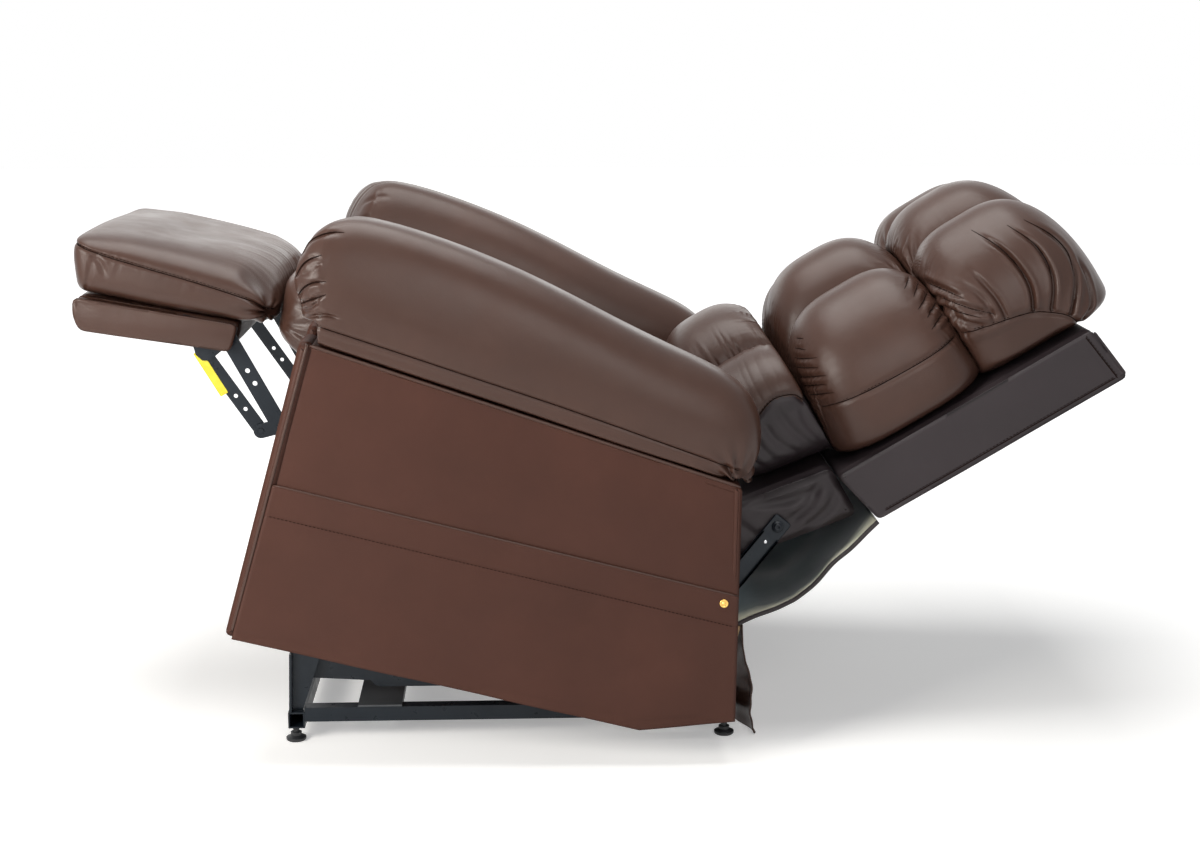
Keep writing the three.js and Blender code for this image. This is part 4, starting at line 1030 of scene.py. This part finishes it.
def arm_pad(side, hand):
    q, faces = cube_shell((56, 150, 104))
    q[:, 1] = crowded(q[:, 1], lambda g: 3.0 * bell(g, -1, 0.1) + 2.0 * bell(g, 1, 0.1))
    r = rounded(q, ((3.0, 3.4), (14.0, 9.0), (22.0, 2.2)), 1.2)
    middle_u, half_length, middle_x, half_width = -0.1465, 0.3795, 0.3805, 0.0905
    u = middle_u + half_length * r[:, 1]
    low = panel_top(np.clip(u, PANEL_FRONT_TOP[0], 1)) + 0.0006 + 0.03 * step(-u, 0.474, 0.492)
    crest = np.polyval(CREST, u)
    w = between(r[:, 2], low + 0.3 * (crest - low), crest, low)
    half_in = half_width * (1 - 0.16 * step(u, -0.05, 0.233))
    across = np.where(r[:, 0] < 0, r[:, 0] * half_in, r[:, 0] * half_width)
    out = middle_x + across - 0.005 * step(low - w, -0.09, 0.0) * np.clip(across / 0.09, 0, 1)
    recede = 0.022 * step(0.668 - w, 0, 0.055) + 0.026 * step(0.43 - out, 0, 0.13)
    u = u + recede * step(-u, 0.44, 0.526)
    x = side * out
    piece = stuffed("arm_pad_stuffed_" + hand, from_box(x, u, w), faces, arm_detail(side, x, u, w), "seat_box")
    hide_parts("arm_pad_" + hand)
    seam("arm_stitch_" + hand, piece, from_box(side * 0.48, *np.array(STITCH_ROW).T), side, "seat_box")
    # painted crease shade: dark lines laid in the deepest pleats at the arm's front
    lines = [from_box(side * BESIDE_ARM, *np.array(pleat).T) for pleat in ARM_PLEATS]
    painted_crease_shade("arm_pleats_" + hand, piece, lines, side, "seat_box", 0.0014)


for side, hand in SIDES:
    arm_pad(side, hand)


def mirrored(side, span):
    return span if side > 0 else (-span[1], -span[0])


def part_boxes(side, parts, material):
    """Boxes from (outline, span, edge, corner, puff, pitch), mirrored for the right side, to be joined."""
    return [padded_box("part", outline, mirrored(side, span), from_box, None, M[material], edge=edge, corner=corner,
                       puff=puff, pitch=pitch, detail=detail)
            for outline, span, edge, corner, puff, pitch, detail in parts]


def panel_detail(side):
    def detail(x, u, w):
        d = 0.0009 * np.sin(u * 9 + w * 5) * np.sin(w * 13 + 0.7 + u * 3)
        d += gathers(pairs(u, w), [(-0.475, 0.572), (0.21, 0.518)], 60, 0.018, 0.0007, 77)
        return step(side * x, 0.452, 0.459) * d
    return detail


def arm_cover(side, hand):
    """The box below an arm: outer panel, front, upper front, inner wall, rear and lid."""
    parts = (
        ([(-0.4895, 0.106), (0.16, 0.1075), (0.3035, 0.1565), (0.2157, 0.5215), (-0.479, 0.5765)],
         (0.448, 0.46), 0.0045, 0.006, 0.0006, 0.014, panel_detail(side)),
        ([(-0.503, 0.104), (-0.483, 0.104), (-0.4735, 0.576), (-0.493, 0.576)],
         (0.341, 0.461), 0.008, 0.0085, 0.0015, 0.01, None),
        ([(-0.4965, 0.432), (-0.479, 0.432), (-0.474, 0.588), (-0.4925, 0.588)],
         (0.2892, 0.345), 0.007, 0.0075, 0.001, 0.01, None),
        ([(-0.478, 0.434), (0.099, 0.434), (0.139, 0.527), (-0.4745, 0.5755)],
         (0.2892, 0.301), 0.004, 0.006, 0.0004, 0.02, None),
        ([(0.2915, 0.1575), (0.3035, 0.1575), (0.2157, 0.5215), (0.203, 0.5215)],
         (0.342, 0.46), 0.004, 0.005, 0.0003, 0.014, None),
        ([(-0.476, 0.5765), (0.215, 0.5218), (0.212, 0.5105), (-0.476, 0.5655)],
         (0.2892, 0.4595), 0.003, 0.003, 0.0, 0.03, None),
    )
    piece = joined("arm_cover_" + hand, part_boxes(side, parts, "panel_leather"), "seat_box",
                   M["panel_leather"])
    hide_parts("arm_box_" + hand)
    front = [(-0.4935, 0.11), (-0.487, 0.35), (-0.4812, 0.56), (-0.48, 0.5735)]
    top = [(-0.478, 0.5768), (-0.3, 0.5628), (-0.1, 0.547), (0.1, 0.5312), (0.2135, 0.5225)]
    for label, line, radius in (("front", front, 0.003), ("top", top, 0.0028)):
        points = from_box(side * 0.4605, *catmull(line, 60).T)
        tube(f"arm_welt_{label}_{hand}", points, radius, "seat_box", "leather")


for side, hand in SIDES:
    arm_cover(side, hand)


# ---------- footrest ----------
def footrest_pad():
    q, faces = cube_shell((110, 84, 46))
    r = rounded(q, ((8.0, 8.0), (12.0, 6.0), (6.0, 1.9)), 1.5)
    half_width, middle_u, half_length = 0.283, -0.7215, 0.1685
    x = half_width * r[:, 0]
    out = np.abs(x)
    u = middle_u + half_length * r[:, 1]
    low = 0.529 + (u + 0.869) / 0.262 * 0.02 + 0.0006
    row = [(-0.884, 0.612), (-0.835, 0.606), (-0.772, 0.603), (-0.676, 0.599), (-0.594, 0.592), (-0.56, 0.582)]
    seam_w = np.interp(u, *np.array(row).T)
    flank = step(out, 0.08, 0.27)
    top = 0.643 - 0.01 * step(-u, 0.79, 0.884) - 0.016 * flank * step(u, -0.63, -0.56)
    top += 0.006 * (1 - flank) * step(u, -0.78, -0.62) - 0.012 * bell(np.hypot(out - 0.278, u + 0.553), 0, 0.06)
    w = between(r[:, 2], seam_w, top, low)
    u = u + 0.011 * step(0.604 - w, 0.0, 0.055) * step(-u, 0.84, 0.884)
    u = u - 0.026 * step(out, 0.17, 0.28) * step(u, -0.65, -0.553) * step(w - seam_w, 0.0, 0.035)
    uw, xw, xu = pairs(u, w), pairs(x, w), pairs(x, u)
    d = dent(uw, row, 0.003, 0.003) + dent(uw, [(-0.848, 0.607), (-0.852, 0.54)], 0.003, 0.0026)
    d += gathers(uw, row, 16, 0.018, 0.0012, 91)
    d += fold(uw, [(-0.846, 0.602), (-0.832, 0.586), (-0.82, 0.568)], 0.004, 0.003, ends=(0.05, 0.5), puff=0.2)
    d *= step(out, 0.255, 0.276)
    d += step(-u, 0.865, 0.88) * dent(xw, [(-half_width, 0.612), (half_width, 0.612)], 0.003, 0.003)
    rays, away = star(u, w, (-0.556, 0.578), 13, 0, 0.045, (0.003, 0.015))
    d += step(out, 0.2, 0.275) * (0.0058 * rays - 0.012 * bell(away, 0, 0.02))
    rear = [(x_end, -0.553) for x_end in (-half_width, 0, half_width)]
    d += step(r[:, 2], 0.1, 0.4) * gathers(xu, rear, 30, 0.06, 0.0024, 95)
    d += 0.0018 * np.sin(x * 14 + u * 6) * np.sin(u * 21 + 0.5)
    piece = stuffed("footrest_pad_stuffed", from_box(x, u, w), faces, d, "footrest_board")
    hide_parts("footrest_pad")
    for side, hand in SIDES:
        line = from_box(side * 0.3, *(np.array(row) - (0, 0.001)).T)
        seam("footrest_stitch_" + hand, piece, line, side, "footrest_board")


footrest_pad()


def board_detail(x, u, w):
    side = step(np.abs(x), 0.262, 0.277)
    line = [(-0.866, 0.524), (-0.85, 0.52), (-0.835, 0.515)]
    d = side * fold(pairs(u, w), line, 0.004, 0.002, ends=(0.05, 0.5))
    d += 0.0022 * side * bell(w, 0.511 + 0.1 * (u + 0.75), 0.016)
    return d + 0.001 * np.sin(u * 26) * np.sin(w * 60 + 1)


def footrest_board():
    """A middle part and a cheek on either side, with shorter parts between them that leave room for the links."""
    front = [(-0.8685, 0.5275), (-0.862, 0.499), (-0.8485, 0.4785)]
    full = front + [(-0.6095, 0.5025), (-0.6075, 0.5475)]
    cut = front + [(-0.705, 0.493), (-0.705, 0.54)]
    middle = (full, (-0.2395, 0.2395), 0.006, 0.012, 0.001, 0.012, board_detail)
    cheek = (full, (0.2685, 0.2775), 0.004, 0.01, 0.001, 0.012, board_detail)
    short = (cut, (0.238, 0.27), 0.002, 0.01, 0.0, 0.012, None)
    parts = part_boxes(1, [middle], "leather")
    for part in (cheek, short):
        for side, _ in SIDES:
            parts += part_boxes(side, [part], "leather")
    piece = joined("footrest_board_cover", parts, "footrest_board", M["leather"])
    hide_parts("footrest_board")


footrest_board()


# ---------- seat ----------
def seat_cushion():
    q, faces = cube_shell((70, 90, 30))
    r = rounded(q, ((8.0, 8.0), (7.0, 4.0), (6.0, 3.6)), 1.4)
    half_width, middle_u, half_length = 0.275, -0.2205, 0.3305
    x = half_width * r[:, 0]
    u = middle_u + half_length * r[:, 1]
    t = np.clip((u + 0.544) / 0.654, 0, 1)
    top = 0.646 + (0.574 - 0.646) * t + 0.014 * bell(u, -0.52, 0.05)
    tail = 0.486 + (0.11 - u) * 0.44 - 0.008
    top = -0.012 * np.log(np.exp(-top / 0.012) + np.exp(-tail / 0.012))  # the lower of the two, smoothly
    low = 0.526 + (0.4786 - 0.526) * np.clip(t / 0.2, 0, 1)
    w = between(r[:, 2], top + (low - top) * 0.6, top, low)
    u = u - 0.014 * bell(w, 0.645, 0.03) * step(-u, 0.5, 0.545)
    front = gathers(pairs(x, u), [(-0.28, -0.548), (0.28, -0.548)], 30, 0.04, 0.0022, 51)
    edge = dent(pairs(u, w), [(-0.53, 0.6), (-0.3, 0.585), (0.0, 0.555)], 0.003, 0.003)
    edge += 0.0045 * star(u, w, (-0.542, 0.56), 12, 0, 0.04)[0]
    d = step(r[:, 2], 0.1, 0.4) * front + step(np.abs(x), 0.245, 0.27) * edge
    d += 0.0025 * np.sin(x * 13) * np.sin(u * 12 + 1)
    piece = stuffed("seat_cushion_stuffed", from_box(x, u, w), faces, d, "seat_box")
    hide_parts("seat_cushion")


seat_cushion()


# ---------- hanging leather and lined cloth ----------
def sheet_solid(points, thickness):
    """Both faces of a sheet from its grid of mid points: rows x cols x 3."""
    rows, cols = points.shape[:2]
    normal = np.cross(np.gradient(points, axis=0), np.gradient(points, axis=1))
    normal /= np.maximum(np.linalg.norm(normal, axis=2, keepdims=True), 1e-9)
    both = np.concatenate([points + normal * thickness / 2, points - normal * thickness / 2])
    faces = grid_faces(rows, cols)
    faces += [tuple(k + rows * cols for k in reversed(f)) for f in grid_faces(rows, cols)]
    rim = [(0, j) for j in range(cols)] + [(i, cols - 1) for i in range(1, rows)]
    rim += [(rows - 1, j) for j in range(cols - 2, -1, -1)] + [(i, 0) for i in range(rows - 2, 0, -1)]
    ids = [i * cols + j for i, j in rim]
    back = rows * cols
    faces += [(a, b, b + back, a + back) for a, b in zip(ids, ids[1:] + ids[:1])]
    return both.reshape(-1, 3), faces


def side_skirt(side, hand):
    v = np.linspace(0, 1, 70)[:, None]
    h = np.linspace(0, 1, 150)[None, :]
    top_w = 0.353 + 0 * h
    top_u = -0.4835 + (0.256 + 0.4835) * h
    low_u = -0.4915 + (0.3045 + 0.4915) * h
    low_w = np.where(low_u < 0.16, 0.1 + 0.005 * (low_u + 0.4915) / 0.6515,
                     0.105 + (low_u - 0.16) * 0.049 / 0.144)
    u = top_u + (low_u - top_u) * v
    w = top_w + (low_w - top_w) * v
    sag = 0.001 * np.sin(u * 15 + 0.6) * v + 0.0012 * np.sin(u * 27 + 1.7 + w * 6) * v**1.5
    drop, rise = v * (top_w - low_w), (1 - v) * (top_w - low_w)
    hem = 0.0008 * bell(drop, 0.0, 0.005) - 0.0012 * bell(drop, 0.048, 0.0022) - 0.001 * bell(rise, 0.013, 0.0022)
    grid = from_box(side * (0.4621 + np.clip(sag + hem, -0.0012, 0.003)), u, w)
    piece = leather_object("side_skirt_leather_" + hand, *sheet_solid(grid, 0.0024), "seat_box", "panel_leather")
    row = np.linspace(-0.478, 0.262, 90)
    stitch = thread("side_skirt_stitch_" + hand, from_box(side * 0.464, row, 0.3045), "seat_box")
    line = catmull([(-0.4835, 0.3535), (0.0, 0.3535), (0.256, 0.3535)], 60)
    edge = tube("side_skirt_band_" + hand, from_box(side * 0.4622, *line.T), 0.0021, "seat_box", "leather")
    snap = turned("skirt_snap_" + hand, SNAP, from_box(side * 0.4636, 0.236, 0.3375), side, "seat_box",
                  M["brass"])
    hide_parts("side_skirt_" + hand)


def turned(name, profile, centre, axis_x, body, material, sides=20):
    """A small turned piece whose axis runs along x, from (radius, height) pairs."""
    ang = np.linspace(0, 2 * np.pi, sides, endpoint=False)
    verts = [[centre[0] + axis_x * h, centre[1] + r * math.cos(a), centre[2] + r * math.sin(a)]
             for r, h in profile for a in ang]
    return make_object(name, np.array(verts), capped_tube_faces(len(profile), sides), body, material)


SNAP = [(0.0066, 0), (0.007, 0.0006), (0.0064, 0.0014), (0.0046, 0.0015), (0.0042, 0.0009), (0.0034, 0.001),
        (0.0026, 0.0022), (0.0008, 0.0026)]
for side, hand in SIDES:
    side_skirt(side, hand)


# ---------- lined flap under the back, and the rear skirt ----------
REAR_HALF = 0.328  # half the width of the flap and the skirt


def rear_flap():
    run = [(0.286, 0.269), (0.305, 0.279), (0.335, 0.2945), (0.37, 0.3125), (0.388, 0.326),
           (0.408, 0.357), (0.434, 0.409), (0.453, 0.453), (0.468, 0.495)]
    rows, cols = 64, 120
    line_u, line_w = catmull(run, rows).T[:, :, None]
    x = np.linspace(-REAR_HALF, REAR_HALF, cols)[None, :]
    t = np.linspace(0, 1, rows)[:, None]
    wave = 0.01 * np.cos(x * 9.5) + 0.004 * np.sin(x * 31 + 1) + 0.0016 * np.sin(22 * t + 9 * x)
    sag = np.sin(np.pi * t) * (wave - 0.006 * bell(np.abs(x), REAR_HALF, 0.03))
    grid = from_box(x, line_u + 0.6 * sag, line_w - 0.8 * sag)
    points, faces = sheet_solid(grid, 0.0026)
    # painted shade: the flap's outer face and its piping are in the darker shaded leather; its inner face has the
    # lining with painted light and shade
    piece = make_object("rear_flap_lined", points, faces, None, M["shaded_leather"])
    piece.data.materials.append(M["lining"])
    quads = (rows - 1) * (cols - 1)
    for k in range(quads, 2 * quads):
        piece.data.polygons[k].material_index = 1
    for k, hand in ((-1, "left"), (0, "right")):
        pipe = tube("flap_piping_" + hand, grid[:, k], 0.0038, None, "shaded_leather", taper=False)
        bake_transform(pipe)
    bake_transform(piece)
    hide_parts("rear_flap")


rear_flap()


def rear_skirt():
    """Hangs straight down in waves from the rear rail to just above the floor."""
    x = np.linspace(-REAR_HALF, REAR_HALF, 180)[None, :]
    t = np.linspace(0, 1, 60)[:, None]
    _, top_y, top_z = from_box(0, 0.295, 0.272)
    wave = np.cos((x + REAR_HALF) / REAR_HALF * np.pi * 4) + 0.35 * np.cos(x * 61 + 0.7)
    curl = bell(np.abs(x), REAR_HALF, 0.055) * (0.012 * bell(t, 0.55, 0.22) + 0.01 * t**4)
    y = top_y + 0.0042 + 0.0062 * t * wave + 0.008 * t**3 + 0.001 * np.sin(40 * t + 11 * x) * t + curl
    z = top_z + (0.003 - top_z) * t + 0.0009 * t * np.sin(x * 14 + 2) * (t < 0.999)
    grid = np.stack(np.broadcast_arrays(x, y, np.maximum(z, 0.0025)), -1)
    piece = leather_object("rear_skirt_hung", *sheet_solid(grid, 0.0026), "seat_box")
    hem = tube("rear_skirt_hem", grid[-1] + [0, 0, 0.0005], 0.0022, "seat_box", "leather", sides=6)
    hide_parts("rear_skirt")


rear_skirt()


# ---------- hardware ----------
def steel_stack(name, stations, body, material):
    """A flat piece from outlines set at places across x, with a cap on either end."""
    verts = stacked(stations)
    faces = capped_tube_faces(len(stations), len(stations[0][1]))
    return make_object(name, from_box(*verts.T), faces, body, M[material], smooth=False)


def back_motor_lug():
    """A strap from the back motor's rod to the slab, with its pin."""
    centre, radius = np.array((0.25, 0.3655)), 0.011
    c, d = math.cos(BACK_ANGLE), math.sin(BACK_ANGLE)
    top = np.array((0.482 * c - 0.1 * d, 0.482 * d + 0.1 * c))
    angle = math.atan2(*(top - centre)[::-1])
    ring = np.array([
        end + radius * np.array((math.cos(angle + t), math.sin(angle + t)))
        for end, turn in ((centre, math.pi / 2), (top, -math.pi / 2))
        for t in np.linspace(turn, turn + math.pi, 12)
    ])
    thin, x0, x1 = inset(ring, 0.0006), 0.054, 0.06
    steel_stack("back_motor_lug", [(x0, thin), (x0 + 0.0006, ring), (x1 - 0.0006, ring), (x1, thin)], "back", "steel")
    turned("back_motor_pin", [(0.0044, 0), (0.005, 0.0006), (0.005, 0.0235), (0.0044, 0.024)],
           from_box(0.055, *centre), 1, "back", M["steel"])


def strip_between(a, b, before, after, low, high):
    """A rectangle along the line from a to b, past its ends and to either side of it."""
    length = np.linalg.norm(b - a)
    way = (b - a) / length
    across = np.array([way[1], -way[0]])
    start, end = a - way * before, a + way * (length + after)
    return [start + across * low, end + across * low, end + across * high, start + across * high]


def yellow_strip():
    corners = strip_between(np.array((-0.666, 0.483)), np.array((-0.608, 0.425)), 0, 0, -0.0095, 0.0045)
    ring = refined(softened(corners, 0.0015), 0.004)
    stations = [(0.2482, ring), (0.24835, ring), (0.24855, inset(ring, 0.0003))]
    steel_stack("yellow_strip", stations, "footrest_slim", "yellow")


def bracket(side, hand):
    """A flanged steel bar from the recline pivot to the lower back, with its bolt and rivet."""
    low, high = np.array((0.25, 0.295)), np.array((0.323, 0.4565))
    outer_x = 0.3026

    def bar(span, outline, edge, corner, pitch):
        return padded_box("bar", outline, mirrored(side, span), from_box, None, M["steel"], edge=edge, corner=corner,
                          puff=0, pitch=pitch, cap_pitch=pitch)

    parts = [bar((0.2992, outer_x), strip_between(low, high, 0.016, 0, -0.016, 0.016), 0.0006, 0.0012, 0.02)]
    for shift in (-0.0148, 0.0148):
        rail = strip_between(low, high, -0.02, -0.034, shift - 0.0014, shift + 0.0014)
        parts.append(bar((outer_x - 0.0004, outer_x + 0.005), rail, 0.0005, 0.0006, 0.03))
    piece = joined("back_bracket_bar_" + hand, parts, "back", M["steel"])
    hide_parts("back_bracket_" + hand)
    way = (high - low) / np.linalg.norm(high - low)
    bolt, rivet = (from_box(side * outer_x, *(high - way * back)) for back in (0.016, 0.048))
    turned("bracket_washer_" + hand, [(0.01, 0), (0.0104, 0.0006), (0.0098, 0.0014)], bolt, side, "back",
           M["steel"])
    turned("bracket_bolt_" + hand,
           [(0.0066, 0.0012), (0.0068, 0.004), (0.0055, 0.0052), (0.0022, 0.0052), (0.0018, 0.0042)], bolt, side,
           "back", M["steel"])
    turned("bracket_rivet_" + hand, [(0.0032, 0), (0.0032, 0.0012), (0.0022, 0.0018)], rivet, side, "back",
           M["bright"], sides=14)


for side, hand in SIDES:
    bracket(side, hand)
back_motor_lug()
yellow_strip()
